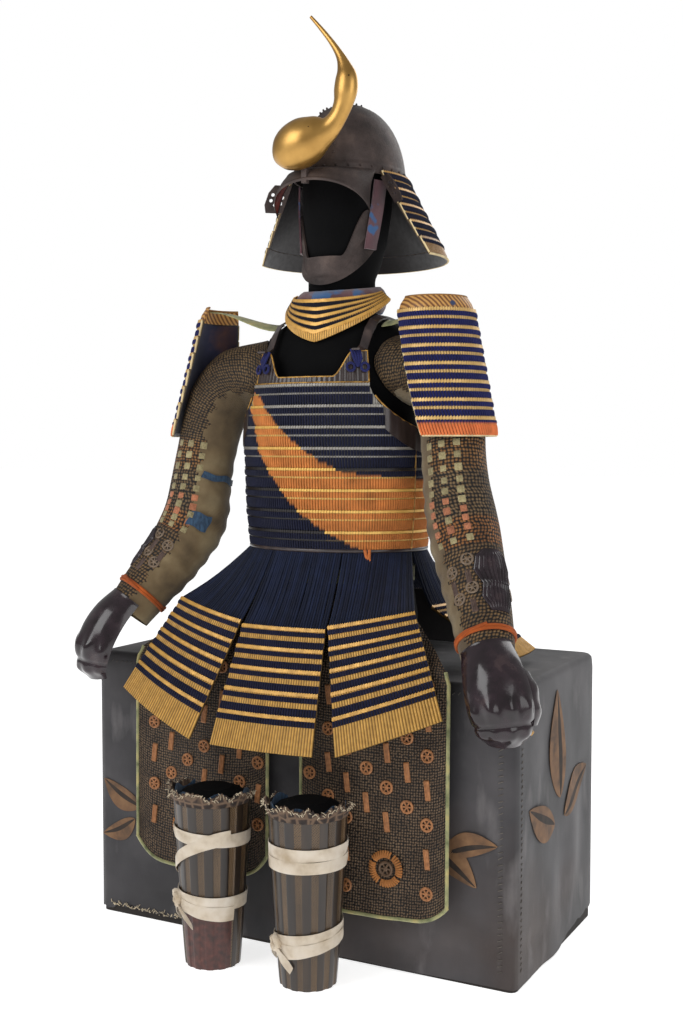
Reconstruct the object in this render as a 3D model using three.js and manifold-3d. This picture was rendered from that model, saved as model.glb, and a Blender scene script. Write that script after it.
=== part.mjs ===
// Samurai armour seated on its cloth-covered trunk, on a limbless black display form.
// Millimetres, +Z up. The armour faces -Y, its wearer's left is +X, and the origin is the
// middle of the trunk's underside on the floor.
import * as THREE from "three";
import Module from "manifold-3d";

const wasm = await Module();
wasm.setup();

// Driving dimensions
const GAP = 0.3; // left between pieces that touch
const CLOTH = 2; // thickness of a plain cloth wall
const PLATE = 2.5; // thickness of an iron or hide plate
const LEDGE = 3; // how far a lame's top edge stands out over the lame above it
const TRUNK = { length: 820, width: 405, height: 490, corner: 14, hem: 7 };
const NECK = { a: 60, b: 62, y: -14, low: 1105, high: 1166 };
const HEAD_JOIN = 1140; // where the form's head meets its torso
const CUIRASS = { bottom: 685, chest: 973, top: 1030, y: -30, lames: 8, hinge: 74 };
const BOWL = { a: 97, b: 118, y: 19, rim: 1345, height: 136, columns: 20, fullness: 0.85, below: 15 };
const BOWL_TURNS = [0, 15, 31, 46, 60, 72, 82]; // degrees up the bowl at which it is shaped
const BOWL_END = THREE.MathUtils.degToRad(BOWL_TURNS[BOWL_TURNS.length - 1]);
const BOWL_CROWN = BOWL.rim + (BOWL.height - PLATE) * Math.sin(BOWL_END); // inside
const SHIN = { x: 92, y: -306, height: 276, low: 45, high: 63, reach: 118, swell: 0.85, most: 1.2 };

const rad = THREE.MathUtils.degToRad;
const lerp = THREE.MathUtils.lerp;
const clamp = THREE.MathUtils.clamp;
const ease = THREE.MathUtils.smoothstep;
const vec = (x, y, z) => new THREE.Vector3(x, y, z);
const steps = (count, make) => Array.from({ length: count }, (_, i) => make(i));
const spread = (from, to, count) => steps(count, (i) => lerp(from, to, i / (count - 1)));

// A named column of a table, read between its rows, which run in rising order of the key
function read(table, key, at, name) {
  let i = 1;
  while (i < table.length - 1 && at > table[i][key]) i += 1;
  const [low, high] = [table[i - 1], table[i]];
  const t = clamp((at - low[key]) / (high[key] - low[key]), 0, 1);
  return lerp(low[name], high[name], t);
}

// A body from its points and triangles, turned to face outwards
function body(points, faces) {
  let volume = 0;
  for (let i = 0; i < faces.length; i += 3) {
    const [a, b, c] = [points[faces[i]], points[faces[i + 1]], points[faces[i + 2]]];
    volume += a.dot(b.clone().cross(c));
  }
  if (volume < 0) faces.reverse();
  const geometry = new THREE.BufferGeometry().setFromPoints(points);
  geometry.setIndex(faces);
  return geometry;
}

// A wall between a grid of outer points and a grid of inner points, rows by columns. The inside
// may have fewer rows. A ring joins its last column to its first, and any other wall has side edges.
function wall(outer, inner, ring = false) {
  const columns = outer[0].length;
  const span = ring ? columns : columns - 1;
  const faces = [];
  const foot = outer.length - 1;
  const sole = inner.length - 1;
  const out = (r, c) => r * columns + (c % columns);
  const into = (r, c) => outer.length * columns + r * columns + (c % columns);
  const quad = (a, b, c, d) => faces.push(a, b, c, a, c, d);
  for (let c = 0; c < span; c += 1) {
    for (let r = 0; r < foot; r += 1) quad(out(r, c), out(r, c + 1), out(r + 1, c + 1), out(r + 1, c));
    for (let r = 0; r < sole; r += 1) quad(into(r, c), into(r + 1, c), into(r + 1, c + 1), into(r, c + 1));
    quad(into(0, c), into(0, c + 1), out(0, c + 1), out(0, c));
    quad(out(foot, c), out(foot, c + 1), into(sole, c + 1), into(sole, c));
  }
  for (const c of ring ? [] : [0, span]) {
    const turn = (a, b, d) => (c === 0 ? faces.push(a, b, d) : faces.push(b, a, d));
    let [i, j] = [0, 0];
    while (i < foot || j < sole) {
      if (j === sole || (i < foot && (i + 1) / foot <= (j + 1) / sole)) {
        turn(out(i, c), out(i + 1, c), into(j, c));
        i += 1;
      } else {
        turn(out(i, c), into(j + 1, c), into(j, c));
        j += 1;
      }
    }
  }
  return body([...outer.flat(), ...inner.flat()], faces);
}

// A solid through closed rings of points, both ends closed by fans round their middles
function loft(rings) {
  const columns = rings[0].length;
  const points = rings.flat();
  const faces = [];
  const at = (r, c) => r * columns + (c % columns);
  const middle = (ring) => ring.reduce((sum, p) => sum.add(p), vec(0, 0, 0)).divideScalar(columns);
  const [first, last] = [points.length, points.length + 1];
  for (let c = 0; c < columns; c += 1) {
    for (let r = 0; r < rings.length - 1; r += 1) {
      faces.push(at(r, c), at(r, c + 1), at(r + 1, c + 1));
      faces.push(at(r, c), at(r + 1, c + 1), at(r + 1, c));
    }
    faces.push(first, at(0, c + 1), at(0, c));
    faces.push(last, at(rings.length - 1, c), at(rings.length - 1, c + 1));
  }
  return body([...points, middle(rings[0]), middle(rings[rings.length - 1])], faces);
}

// A grid moved along its own normals. Seen from outside, columns run left to right and rows down.
function moved(grid, distance) {
  const end = grid.length - 1;
  const side = grid[0].length - 1;
  return grid.map((row, r) =>
    row.map((point, c) => {
      const down = grid[Math.min(r + 1, end)][c].clone().sub(grid[Math.max(r - 1, 0)][c]);
      const across = row[Math.min(c + 1, side)].clone().sub(row[Math.max(c - 1, 0)]);
      return point.clone().addScaledVector(down.cross(across).normalize(), distance(r, c));
    }),
  );
}

// A panel: a grid moved out by the wall and its relief, over a plain inside that keeps some of
// the grid's rows. Its top edge is cut level.
function panel(grid, thickness, relief = () => 0, keeps = () => true) {
  const outer = moved(grid, (r, c) => thickness + relief(r, c));
  outer[0].forEach((point, c) => point.setZ(Math.min(point.z, grid[0][c].z)));
  return wall(outer, grid.filter((row, r) => keeps(r)));
}

const manifold = (geometry) =>
  new wasm.Manifold(
    new wasm.Mesh({
      numProp: 3,
      vertProperties: geometry.attributes.position.array,
      triVerts: new Uint32Array(geometry.index.array),
    }),
  );

// A geometry from a joined or cut solid
function geometryOf(solid) {
  const mesh = solid.getMesh();
  const point = (i) => vec(...mesh.vertProperties.slice(i * mesh.numProp, i * mesh.numProp + 3));
  return body(steps(mesh.numVert, point), [...mesh.triVerts]);
}
const cut = (piece, ...tools) =>
  geometryOf(tools.reduce((solid, tool) => solid.subtract(manifold(tool)), manifold(piece)));
const join = (piece, ...others) =>
  geometryOf(others.reduce((solid, other) => solid.add(manifold(other)), manifold(piece)));

// The finishes that the pieces share
const finish = (color, roughness, metalness = 0) =>
  new THREE.MeshStandardMaterial({ color, roughness, metalness });
const CANVAS = finish("#46444a", 0.85);
const BLACK_CLOTH = finish("#0b0b0d", 0.9);
const IRON = finish("#52463f", 0.6, 0.6);
const NAVY_LACING = finish("#20264a", 0.8);
const GOLD_LACQUER = finish("#c8963c", 0.35, 0.7);
const BROWN_LACQUER = finish("#2e2321", 0.3);
const WOOL = finish("#5a3741", 0.95);
const MAIL = finish("#463a30", 0.75, 0.4);
const BROCADE = finish("#a9a878", 0.9);
const LEATHER = finish("#4a3526", 0.7);
const COTTON = finish("#d8d2c4", 0.95);
const ORANGE_SILK = finish("#c8743a", 0.8);
const WOOD = finish("#3a2f28", 0.8);

const armour = new THREE.Group();
function add(name, geometry, material) {
  const mesh = new THREE.Mesh(geometry, material);
  mesh.name = name;
  armour.add(mesh);
}

// A piece that is shaped on the wearer's left, at +X, put on either side, or mirrored as a pair
function addOn(side, name, geometry, material) {
  const way = side === "left" ? 1 : -1;
  const position = geometry.attributes.position;
  const points = steps(position.count, (i) => vec(way * position.getX(i), position.getY(i), position.getZ(i)));
  add(name + "_" + side, body(points, [...geometry.index.array]), material);
}
function addPair(name, geometry, material) {
  addOn("left", name, geometry, material);
  addOn("right", name, geometry, material);
}

// A point on an upright ellipse, its angle counted from the front (-Y) towards +X
const oval = (a, b, y, angle, z) => vec(a * Math.sin(angle), y - b * Math.cos(angle), z);

// Trunk: a plain closed carcass under a cover of oiled canvas
const SIDE_STEPS = 6;
const END_STEPS = 3;
const CORNER_STEPS = 3;

// A rounded rectangle, its corners arcs and its sides stepped so that they can wave
function roundedRing(length, width, corner, z, wave = () => 0) {
  const ring = [];
  const [x, y] = [length / 2, width / 2];
  const sides = [
    { x: -x + corner, y: -y, along: [1, 0], run: length - 2 * corner, count: SIDE_STEPS },
    { x, y: -y + corner, along: [0, 1], run: width - 2 * corner, count: END_STEPS },
    { x: x - corner, y, along: [-1, 0], run: length - 2 * corner, count: SIDE_STEPS },
    { x: -x, y: y - corner, along: [0, -1], run: width - 2 * corner, count: END_STEPS },
  ];
  for (const [s, side] of sides.entries()) {
    const out = [side.along[1], -side.along[0]];
    for (let i = 0; i < side.count; i += 1) {
      const t = i / side.count;
      const bulge = wave(s, t);
      ring.push(vec(side.x + side.along[0] * side.run * t + out[0] * bulge,
        side.y + side.along[1] * side.run * t + out[1] * bulge, z));
    }
    const from = Math.atan2(out[1], out[0]);
    const middle = [side.x + side.along[0] * side.run - out[0] * corner,
      side.y + side.along[1] * side.run - out[1] * corner];
    for (let i = 0; i < CORNER_STEPS; i += 1) {
      const turn = from + (i / CORNER_STEPS) * (Math.PI / 2);
      ring.push(vec(middle[0] + corner * Math.cos(turn), middle[1] + corner * Math.sin(turn), z));
    }
  }
  return ring;
}

// Each row: height, how much the canvas slackens there and how far the edge draws in
const COVER_ROWS = [
  { z: TRUNK.hem, slack: 2.6, inset: 0 },
  { z: 70, slack: 2.2, inset: 0 },
  { z: 190, slack: 1.6, inset: 0 },
  { z: 340, slack: 2.4, inset: 0 },
  { z: 470, slack: 0.5, inset: 0 },
  { z: 484, slack: 0, inset: 2 },
  { z: TRUNK.height, slack: 0, inset: 9 },
];
const SAG = { waves: 5.1, shift: 0.9, rise: 70 };
function sag(side, t, row) {
  const wave = Math.sin(SAG.waves * t * (side + 2) + SAG.shift * side + row.z / SAG.rise);
  return row.slack * (1 + wave) * Math.sin(Math.PI * t);
}
const CORNER_EASE = 8; // the most by which the cover's inside draws its corners in
const FLOOR_CUT = -20; // how far below the floor the cover's inside is cut
function coverRing(row, inward, z) {
  const less = 2 * (row.inset + inward);
  const corner = TRUNK.corner - Math.min(inward, CORNER_EASE);
  return roundedRing(TRUNK.length - less, TRUNK.width - less, corner, z, (s, t) => sag(s, t, row));
}
function coverSolid(inward, drop, from) {
  return loft(COVER_ROWS.map((row, i) => coverRing(row, inward, i === 0 ? from : row.z - drop)));
}
add("trunk_cover", cut(coverSolid(0, 0, TRUNK.hem), coverSolid(CLOTH, CLOTH, FLOOR_CUT)), CANVAS);
const CARCASS_INSET = 2 * (CLOTH + GAP);
function carcassRing({ z, inset }) {
  const less = CARCASS_INSET + inset;
  return roundedRing(TRUNK.length - less, TRUNK.width - less, TRUNK.corner - CLOTH, z);
}
const CARCASS_ROWS = [
  { z: 0, inset: 0 },
  { z: 462, inset: 0 },
  { z: 481, inset: 5 },
  { z: TRUNK.height - CLOTH - GAP, inset: 20 },
];
add("trunk_carcass", loft(CARCASS_ROWS.map(carcassRing)), WOOD);

// Display form: a limbless torso and a smooth faceless head, both covered in black cloth
const TORSO_ROWS = [
  { z: TRUNK.height + GAP, a: 146, b: 108, y: -20 },
  { z: 560, a: 148, b: 110, y: -20 },
  { z: 628, a: 140, b: 105, y: -25 },
  { z: 654, a: 140, b: 105, y: -25 },
  { z: 760, a: 148, b: 107, y: -28 },
  { z: 900, a: 156, b: 110, y: -30 },
  { z: 985, a: 156, b: 104, y: -29 },
  { z: 1032, a: 152, b: 94, y: -26 },
  { z: 1064, a: 138, b: 82, y: -21 },
  { z: 1083, a: 114, b: 73, y: -18 },
  { z: 1095, a: 86, b: 66, y: -16 },
  { z: NECK.low - 3, a: NECK.a, b: NECK.b, y: NECK.y },
  { z: HEAD_JOIN, a: NECK.a, b: NECK.b, y: NECK.y },
];
const HEAD_ROWS = [
  { z: HEAD_JOIN + GAP, a: NECK.a, b: NECK.b, y: NECK.y },
  { z: NECK.high, a: NECK.a, b: NECK.b, y: NECK.y },
  { z: 1190, a: 64, b: 74, y: -6 },
  { z: 1235, a: 71, b: 88, y: 2 },
  { z: 1290, a: 76, b: 95, y: 8 },
  { z: 1345, a: 78, b: 98, y: 12 },
  { z: 1396, a: 73, b: 91, y: 15 },
  { z: 1434, a: 57, b: 72, y: 17 },
  { z: 1461, a: 35, b: 44, y: 19 },
  { z: BOWL_CROWN - GAP, a: 9, b: 12, y: 19 },
];
const formPoint = (rows, z, angle, out = 0) =>
  oval(read(rows, "z", z, "a") + out, read(rows, "z", z, "b") + out, read(rows, "z", z, "y"), angle, z);
const FORM_COLUMNS = 20;
const formTurn = (c) => (2 * Math.PI * c) / FORM_COLUMNS;
const formRings = (rows) =>
  rows.map((row) => steps(FORM_COLUMNS, (c) => oval(row.a, row.b, row.y, formTurn(c), row.z)));
add("form_torso", loft(formRings(TORSO_ROWS)), BLACK_CLOTH);
add("form_head", loft(formRings(HEAD_ROWS)), BLACK_CLOTH);

// Cuirass: two halves of lacquered lames, hinged under the wearer's left arm and tied at the right
const CUIRASS_ROWS = [
  { z: CUIRASS.bottom - GAP, a: 163, b: 119 },
  { z: 760, a: 170, b: 126 },
  { z: 880, a: 174, b: 129 },
  { z: CUIRASS.chest, a: 168, b: 125 },
  { z: CUIRASS.top, a: 156, b: 114 },
];
function cuirassPoint(z, degrees, out = 0) {
  const [a, b] = ["a", "b"].map((name) => read(CUIRASS_ROWS, "z", z, name) + out);
  return oval(a, b, CUIRASS.y, rad(degrees), z);
}

// Lames from the top down: each one's top edge stands out, and its foot tucks behind the next
const FOOT = 1.2;
const TUCK = 0.4; // how far a lame's foot stands out
const lameRows = (top, bottom, count) => {
  const pitch = (top - bottom) / count;
  return steps(count, (k) => [
    { z: top - k * pitch, out: LEDGE },
    { z: top - (k + 1) * pitch + (k < count - 1 ? FOOT : 0), out: TUCK },
  ]).flat();
};

// The armhole, an oval cut straight through both sides above the underarm
const ARMHOLE = { y: -30, z: 985, reach: 100, drop: 97, sides: 32, half: 300 };
const armholeRing = (x) =>
  steps(ARMHOLE.sides, (i) => {
    const turn = (2 * Math.PI * i) / ARMHOLE.sides;
    return vec(x, ARMHOLE.y + ARMHOLE.reach * Math.cos(turn), ARMHOLE.z + ARMHOLE.drop * Math.sin(turn));
  });
const armhole = loft([armholeRing(-ARMHOLE.half), armholeRing(ARMHOLE.half)]);
const HALF_COLUMNS = 11;
function cuirassHalf(from, to) {
  const rows = lameRows(CUIRASS.chest, CUIRASS.bottom, CUIRASS.lames);
  const angles = spread(from, to, HALF_COLUMNS);
  const outer = rows.map((row) => angles.map((angle) => cuirassPoint(row.z, angle, PLATE + row.out)));
  const inner = CUIRASS_ROWS.slice(0, 4).reverse().map((row) =>
    angles.map((angle) => cuirassPoint(Math.max(row.z, CUIRASS.bottom), angle)));
  return cut(wall(outer, inner), armhole);
}
const TIED_SIDE = -88;
const EDGE_GAP = 0.12; // degrees left open at the hinge and at the tied side
add("cuirass_front", cuirassHalf(TIED_SIDE, CUIRASS.hinge), NAVY_LACING);
add("cuirass_back", cuirassHalf(CUIRASS.hinge + EDGE_GAP, 360 + TIED_SIDE - EDGE_GAP), NAVY_LACING);

// Chest and back plates: ribbed lacquer with a rolled rim round the neck and a horn for each strap
const HORN = { from: 18, flat: 32, to: 41 };
const COLLAR_RIB = { columns: 19, levels: [0, 0.45, 0.88, 1], rim: 2, stand: 0.9 };
function collarPlate(middle, scoop) {
  const angles = spread(-HORN.to, HORN.to, COLLAR_RIB.columns);
  const topAt = (angle) => lerp(scoop, CUIRASS.top, ease(Math.abs(angle), HORN.from, HORN.flat));
  const grid = COLLAR_RIB.levels.map((t) =>
    angles.map((angle) => cuirassPoint(lerp(CUIRASS.chest + GAP, topAt(angle), t), middle + angle)),
  ).reverse();
  const rib = (r, c) => (r === 0 ? COLLAR_RIB.rim : COLLAR_RIB.stand * (c % 2));
  return panel(grid, PLATE, rib);
}
add("chest_plate", collarPlate(0, 986), BROWN_LACQUER);
add("back_plate", collarPlate(180, 1010), BROWN_LACQUER);

// Underarm plates: a strip of plain lacquer along the armhole, outside the lames
const UNDERARM = { from: 50, to: 112, height: 40, above: 5, level: 880, columns: 9, rim: 1.5 };
const ARMHOLE_SHARE = 0.98; // of the armhole's reach within which its edge is read
const armholeEdge = (y) => {
  const t = clamp((y - ARMHOLE.y) / ARMHOLE.reach, -ARMHOLE_SHARE, ARMHOLE_SHARE);
  return ARMHOLE.z - ARMHOLE.drop * Math.sqrt(1 - t * t);
};
const underarmGrid = [0, 0.5, 1].map((t) =>
  spread(UNDERARM.from, UNDERARM.to, UNDERARM.columns).map((angle) => {
    const top = armholeEdge(cuirassPoint(UNDERARM.level, angle).y) + UNDERARM.above;
    return cuirassPoint(top - t * UNDERARM.height, angle, PLATE + LEDGE + 2 * GAP);
  }),
);
const underarmRim = (r) => (r === 0 ? UNDERARM.rim : 0);
addPair("underarm_plate", panel(underarmGrid, CLOTH, underarmRim), BROWN_LACQUER);

// The height of the form's shoulder above a point of the plan, found by halving
const HALVINGS = 40;
const UNDER_SHOULDER = 900;
function shoulderHeight(x, y) {
  let [low, high] = [UNDER_SHOULDER, HEAD_JOIN];
  for (let i = 0; i < HALVINGS; i += 1) {
    const z = (low + high) / 2;
    const across = x / read(TORSO_ROWS, "z", z, "a");
    const deep = (y - read(TORSO_ROWS, "z", z, "y")) / read(TORSO_ROWS, "z", z, "b");
    if (across * across + deep * deep < 1) low = z;
    else high = z;
  }
  return high;
}

// Shoulder straps: padded bands that lie on the form's shoulders and end on the plates' horns
const STRAP = { inside: 86, outside: 101, crest: -20, front: -112, back: 58, thick: 3, off: -0.5,
  clearX: [-5, 0, 5], clearY: [-10, 0, 10] };
const STRAP_ROWS = [-142, -127, -112, -92, -72, -52, -36, -20, -4, 12, 32, 46, 58, 72, 88];
function strapHeight(x, y) {
  const reach = y < STRAP.crest ? STRAP.front - STRAP.crest : STRAP.back - STRAP.crest;
  const u = Math.min((y - STRAP.crest) / reach, 1);
  const crest = shoulderHeight(x, STRAP.crest);
  const base = CUIRASS.top;
  const around = STRAP.clearY.flatMap((dy) => STRAP.clearX.map((dx) => shoulderHeight(x + dx, y + dy)));
  return Math.max(base + GAP + (crest - base) * (1 - u * u), Math.max(...around) + STRAP.off);
}
const strapAcross = spread(STRAP.inside, STRAP.outside, 3);
const strapGrid = (lift) =>
  STRAP_ROWS.map((y) => strapAcross.map((x) => vec(x, y, strapHeight(x, y) + lift)));
addPair("shoulder_strap", wall(strapGrid(STRAP.thick), strapGrid(0)), BROWN_LACQUER);

// Tassets: silk suspension lacing from the cuirass's foot, then lames that flare outwards.
// Corners are the ends of the first lame's top edge and of the last lame's foot.
const TASSETS = [
  { name: "front_middle", from: -24, to: 24, bulge: 7,
    first: [vec(-80, -222, 560), vec(80, -222, 560)],
    last: [vec(-98, -302, 366), vec(98, -302, 366)] },
  { name: "front", pair: true, from: 24.7, to: 76, bulge: 8,
    first: [vec(85, -221, 566), vec(228, -190, 595)],
    last: [vec(140, -301, 370), vec(308, -260, 438)] },
  { name: "side", pair: true, from: 76.7, to: 127, bulge: 7,
    first: [vec(205, -78, 588), vec(212, 62, 588)],
    last: [vec(340, -66, 506), vec(340, 72, 506)] },
  { name: "back", pair: true, from: 127.7, to: 179.8, bulge: 6,
    first: [vec(160, 178, 592), vec(3, 186, 588)],
    last: [vec(190, 246, 404), vec(5, 254, 396)] },
];
const LAME_FEET = [0.17, 0.34, 0.52, 0.71, 1]; // share of the laced length down to each lame's foot
const LAME_LIP = 0.006;
const LAME_TUCK = 0.3; // how far a hanging lame's foot stands out
const HANGING_SAG = 8;
const HANGING_SHARES = [0, 0.5, 0.985]; // where the suspension lacing is shaped
function tassetGrid({ from, to, first, last, bulge }) {
  const across = [0, 0.25, 0.5, 0.75, 1];
  const crown = (u) => 4 * u * (1 - u) * bulge;
  const out = first[1].clone().sub(first[0]).cross(vec(0, 0, 1)).normalize();
  const laced = (u, v) => {
    const foot = last[0].clone().lerp(last[1], u);
    return first[0].clone().lerp(first[1], u).lerp(foot, v).addScaledVector(out, crown(u));
  };
  const hung = (u, t) => {
    const slack = vec(0, 0, -HANGING_SAG * Math.sin(Math.PI * t));
    return cuirassPoint(CUIRASS.bottom - GAP, lerp(from, to, u)).lerp(laced(u, 0), t).add(slack);
  };
  const rows = HANGING_SHARES.map((t) => ({ at: (u) => hung(u, t), out: 0 }));
  LAME_FEET.forEach((foot, k) => {
    const top = k === 0 ? 0 : LAME_FEET[k - 1];
    rows.push({ at: (u) => laced(u, top + LAME_LIP), out: LEDGE });
    rows.push({ at: (u) => laced(u, foot), out: LAME_TUCK });
  });
  const keeps = (r) => r < 4 || r === rows.length - 1;
  return { grid: rows.map((row) => across.map(row.at)), relief: (r) => rows[r].out, keeps };
}
for (const tasset of TASSETS) {
  const { grid, relief, keeps } = tassetGrid(tasset);
  const place = tasset.pair ? addPair : add;
  place("tasset_" + tasset.name, panel(grid, PLATE, relief, keeps), NAVY_LACING);
}

// Thigh guards: a cloth band round the form's waist, and a panel of mail on cloth for each thigh
const BAND = { low: 628, high: 654, thick: 3, a: 140, b: 105, y: -25 };
const bandRing = (z, out) =>
  steps(FORM_COLUMNS, (c) => oval(BAND.a + GAP + out, BAND.b + GAP + out, BAND.y, formTurn(c), z));
add("thigh_band", wall([BAND.high, BAND.low].map((z) => bandRing(z, BAND.thick)),
  [BAND.high, BAND.low].map((z) => bandRing(z, 0)), true), BROCADE);
const THIGH = { from: 3, to: 64, inside: 32, outside: 304, front: -224, edge: 508, thick: 2.5, columns: 9,
  draw: 8, lap: 6, hump: 6, lean: 4, wave: 4, waves: 9, shift: 1.1, power: 5 };
const THIGH_ROWS = [0.06, 0.28, 0.5, 0.72, 0.88, 1];
const THIGH_FEET = { left: { z: 96, rounding: 34 }, right: { z: 118, rounding: 46 } };
function thighGrid(end) {
  const across = spread(0, 1, THIGH.columns);
  const top = (u) => {
    const angle = rad(lerp(THIGH.from, THIGH.to, u));
    return oval(BAND.a + GAP, BAND.b + GAP, BAND.y, angle, BAND.low - GAP);
  };
  const knee = (u) => {
    const x = lerp(THIGH.inside, THIGH.outside - THIGH.draw, u);
    return vec(x, THIGH.front + THIGH.lap, THIGH.edge);
  };
  const thigh = (u) => top(u).lerp(knee(u), 0.5).add(vec(0, 0, THIGH.hump));
  const hang = (u, s) => {
    const foot = end.z + end.rounding * Math.pow(Math.abs(2 * u - 1), THIGH.power);
    const wave = THIGH.wave * Math.sin(THIGH.waves * u + THIGH.shift) * s;
    const y = THIGH.front - THIGH.lean * s + wave;
    return vec(lerp(THIGH.inside, THIGH.outside, u), y, lerp(THIGH.edge, foot, s));
  };
  const hanging = THIGH_ROWS.map((s) => across.map((u) => hang(u, s)));
  return [across.map(top), across.map(thigh), across.map(knee), ...hanging];
}
for (const [name, end] of Object.entries(THIGH_FEET)) {
  addOn(name, "thigh_panel", panel(thighGrid(end), THIGH.thick), MAIL);
}

// Helmet: a riveted iron bowl with a peak, a flared neck guard and two turned-back plates
const bowlRings = (inward, foot) => [
  ...foot.map((z) => bowlRing(0, inward, z)),
  ...BOWL_TURNS.map((turn) =>
    bowlRing(turn, inward, BOWL.rim + (BOWL.height - inward) * Math.sin(rad(turn)))),
];
function bowlRing(turn, inward, z) {
  const share = Math.pow(Math.cos(rad(turn)), BOWL.fullness);
  const [a, b] = [(BOWL.a - inward) * share, (BOWL.b - inward) * share];
  return steps(BOWL.columns, (c) => oval(a, b, BOWL.y, (2 * Math.PI * c) / BOWL.columns, z));
}
add("helmet_bowl", cut(loft(bowlRings(0, [])), loft(bowlRings(PLATE, [BOWL.rim - BOWL.below]))), IRON);

// Fore-crest: a gilt gourd on its stalk, lofted along its bent middle line
const GOURD = { y: -150, depth: 0.74, sides: 10 };
const GOURD_ROWS = [
  { x: -61, z: 1367, r: 4 },
  { x: -56, z: 1368, r: 17 },
  { x: -43, z: 1372, r: 32 },
  { x: -22, z: 1379, r: 41 },
  { x: 2, z: 1387, r: 42 },
  { x: 26, z: 1396, r: 33 },
  { x: 47, z: 1404, r: 21 },
  { x: 63, z: 1420, r: 16.5 },
  { x: 74, z: 1441, r: 17.5 },
  { x: 79, z: 1463, r: 21 },
  { x: 80, z: 1485, r: 19 },
  { x: 76, z: 1503, r: 12.5 },
  { x: 68, z: 1522, r: 7.5 },
  { x: 53, z: 1545, r: 5 },
  { x: 33, z: 1570, r: 3.8 },
  { x: 12, z: 1594, r: 2.6 },
];
function gourd(swell) {
  const last = GOURD_ROWS.length - 1;
  return loft(GOURD_ROWS.map((row, i) => {
    const [before, after] = [GOURD_ROWS[Math.max(i - 1, 0)], GOURD_ROWS[Math.min(i + 1, last)]];
    const way = vec(after.x - before.x, 0, after.z - before.z).normalize();
    const end = i === 0 ? -swell : 0;
    return steps(GOURD.sides, (c) => {
      const turn = (2 * Math.PI * c) / GOURD.sides;
      const up = (row.r + swell) * Math.cos(turn);
      const deep = (row.r * GOURD.depth + swell) * Math.sin(turn);
      return vec(row.x - way.z * up + way.x * end, GOURD.y + deep, row.z + way.x * up);
    });
  }));
}
add("crest_gourd", gourd(0), GOLD_LACQUER);

// Peak: it springs from the bowl's front and sweeps down past the temples, with the crest's prong
const PEAK = { reach: 58, columns: 13, seat: 1349, arch: 7,
  edge: { x: 92, y: -146, back: 61, z: 1322, drop: 50 } };
const peakGrid = [0, 0.3, 0.65, 1].map((s) =>
  spread(-PEAK.reach, PEAK.reach, PEAK.columns).map((angle) => {
    const turn = rad((angle / PEAK.reach) * 90);
    const edge = vec(PEAK.edge.x * Math.sin(turn), PEAK.edge.y + PEAK.edge.back * (1 - Math.cos(turn)),
      PEAK.edge.z - PEAK.edge.drop * (angle / PEAK.reach) ** 2);
    const seat = oval(BOWL.a + 2 * GAP, BOWL.b + 2 * GAP, BOWL.y, rad(angle), PEAK.seat);
    const arch = PEAK.arch * Math.sin(Math.PI * s);
    return seat.lerp(edge, s).add(vec(0, -arch, arch));
  }),
);
const PRONG = { x: -4, y: -142, low: 1320, high: 1372, half: 5, top: 1362 };
const CORNERS = [[-1, -1], [1, -1], [1, 1], [-1, 1]];
const prongRing = (z) =>
  CORNERS.map(([i, j]) => vec(PRONG.x + i * PRONG.half, PRONG.y + j * PRONG.half, z));
const prong = cut(loft([prongRing(PRONG.low), prongRing(PRONG.high)]), gourd(GAP));
const ABOVE = 400; // half the width, and the height, of the block that trims the prong
const aboveRing = (z) => CORNERS.map(([i, j]) => vec(i * ABOVE, j * ABOVE, z));
const above = loft([aboveRing(PRONG.top), aboveRing(PRONG.top + ABOVE)]);
add("helmet_peak", join(panel(peakGrid, PLATE), cut(prong, above)), IRON);

// Neck guard: five flaring lames round the back and sides of the bowl's rim
const GUARD = { from: 62, draw: 15, lames: 5, columns: 16, flare: 1.05, lip: 0.008,
  top: { a: 98.6, b: 120, y: 19, z: 1348 }, foot: { a: 172, b: 170, y: 30, z: 1203 } };
function guardPoint(u, t, out = 0) {
  const front = GUARD.from + GUARD.draw * t;
  const degrees = lerp(front, 360 - front, u);
  const flare = Math.pow(t, GUARD.flare);
  const [a, b] = ["a", "b"].map((key) => lerp(GUARD.top[key], GUARD.foot[key], flare) + out);
  return oval(a, b, lerp(GUARD.top.y, GUARD.foot.y, t), rad(degrees), lerp(GUARD.top.z, GUARD.foot.z, t));
}
const guardRows = steps(GUARD.lames, (k) => [
  { t: k / GUARD.lames, out: k === 0 ? 0 : LEDGE },
  { t: (k + 1) / GUARD.lames - (k < GUARD.lames - 1 ? GUARD.lip : 0), out: LAME_TUCK },
]).flat();
const guardAcross = spread(0, 1, GUARD.columns);
const guardOuter = guardRows.map((row) => guardAcross.map((u) => guardPoint(u, row.t, PLATE + row.out)));
const guardInner = spread(0, 1, GUARD.lames).map((t) => guardAcross.map((u) => guardPoint(u, t)));
add("neck_guard", wall(guardOuter, guardInner), NAVY_LACING);

// Turn-backs: the guard's front ends folded outwards, each pierced by a ring of round holes
const TURNBACK = { width: 38, way: vec(0.75, -0.66, 0), hole: 3.6, ring: 11, holes: 6, sides: 6,
  levels: [0.06, 0.15, 0.29, 0.38], rounding: 0.82, off: 0.002, depth: 9 };
const turnbackGrid = TURNBACK.levels.map((t, r) =>
  [0, 0.5, 1].map((w) => {
    const corner = w === 1 && (r === 0 || r === TURNBACK.levels.length - 1);
    const share = corner ? TURNBACK.rounding : w;
    return guardPoint(-TURNBACK.off, t).addScaledVector(TURNBACK.way, TURNBACK.width * share);
  }),
);
const turnbackMiddle = turnbackGrid[1][1].clone().lerp(turnbackGrid[2][1], 0.5);
const turnbackDown = turnbackGrid[2][1].clone().sub(turnbackGrid[1][1]).normalize();
const turnbackOut = turnbackDown.clone().cross(TURNBACK.way).normalize();
const turnbackAcross = turnbackOut.clone().cross(turnbackDown);
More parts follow.
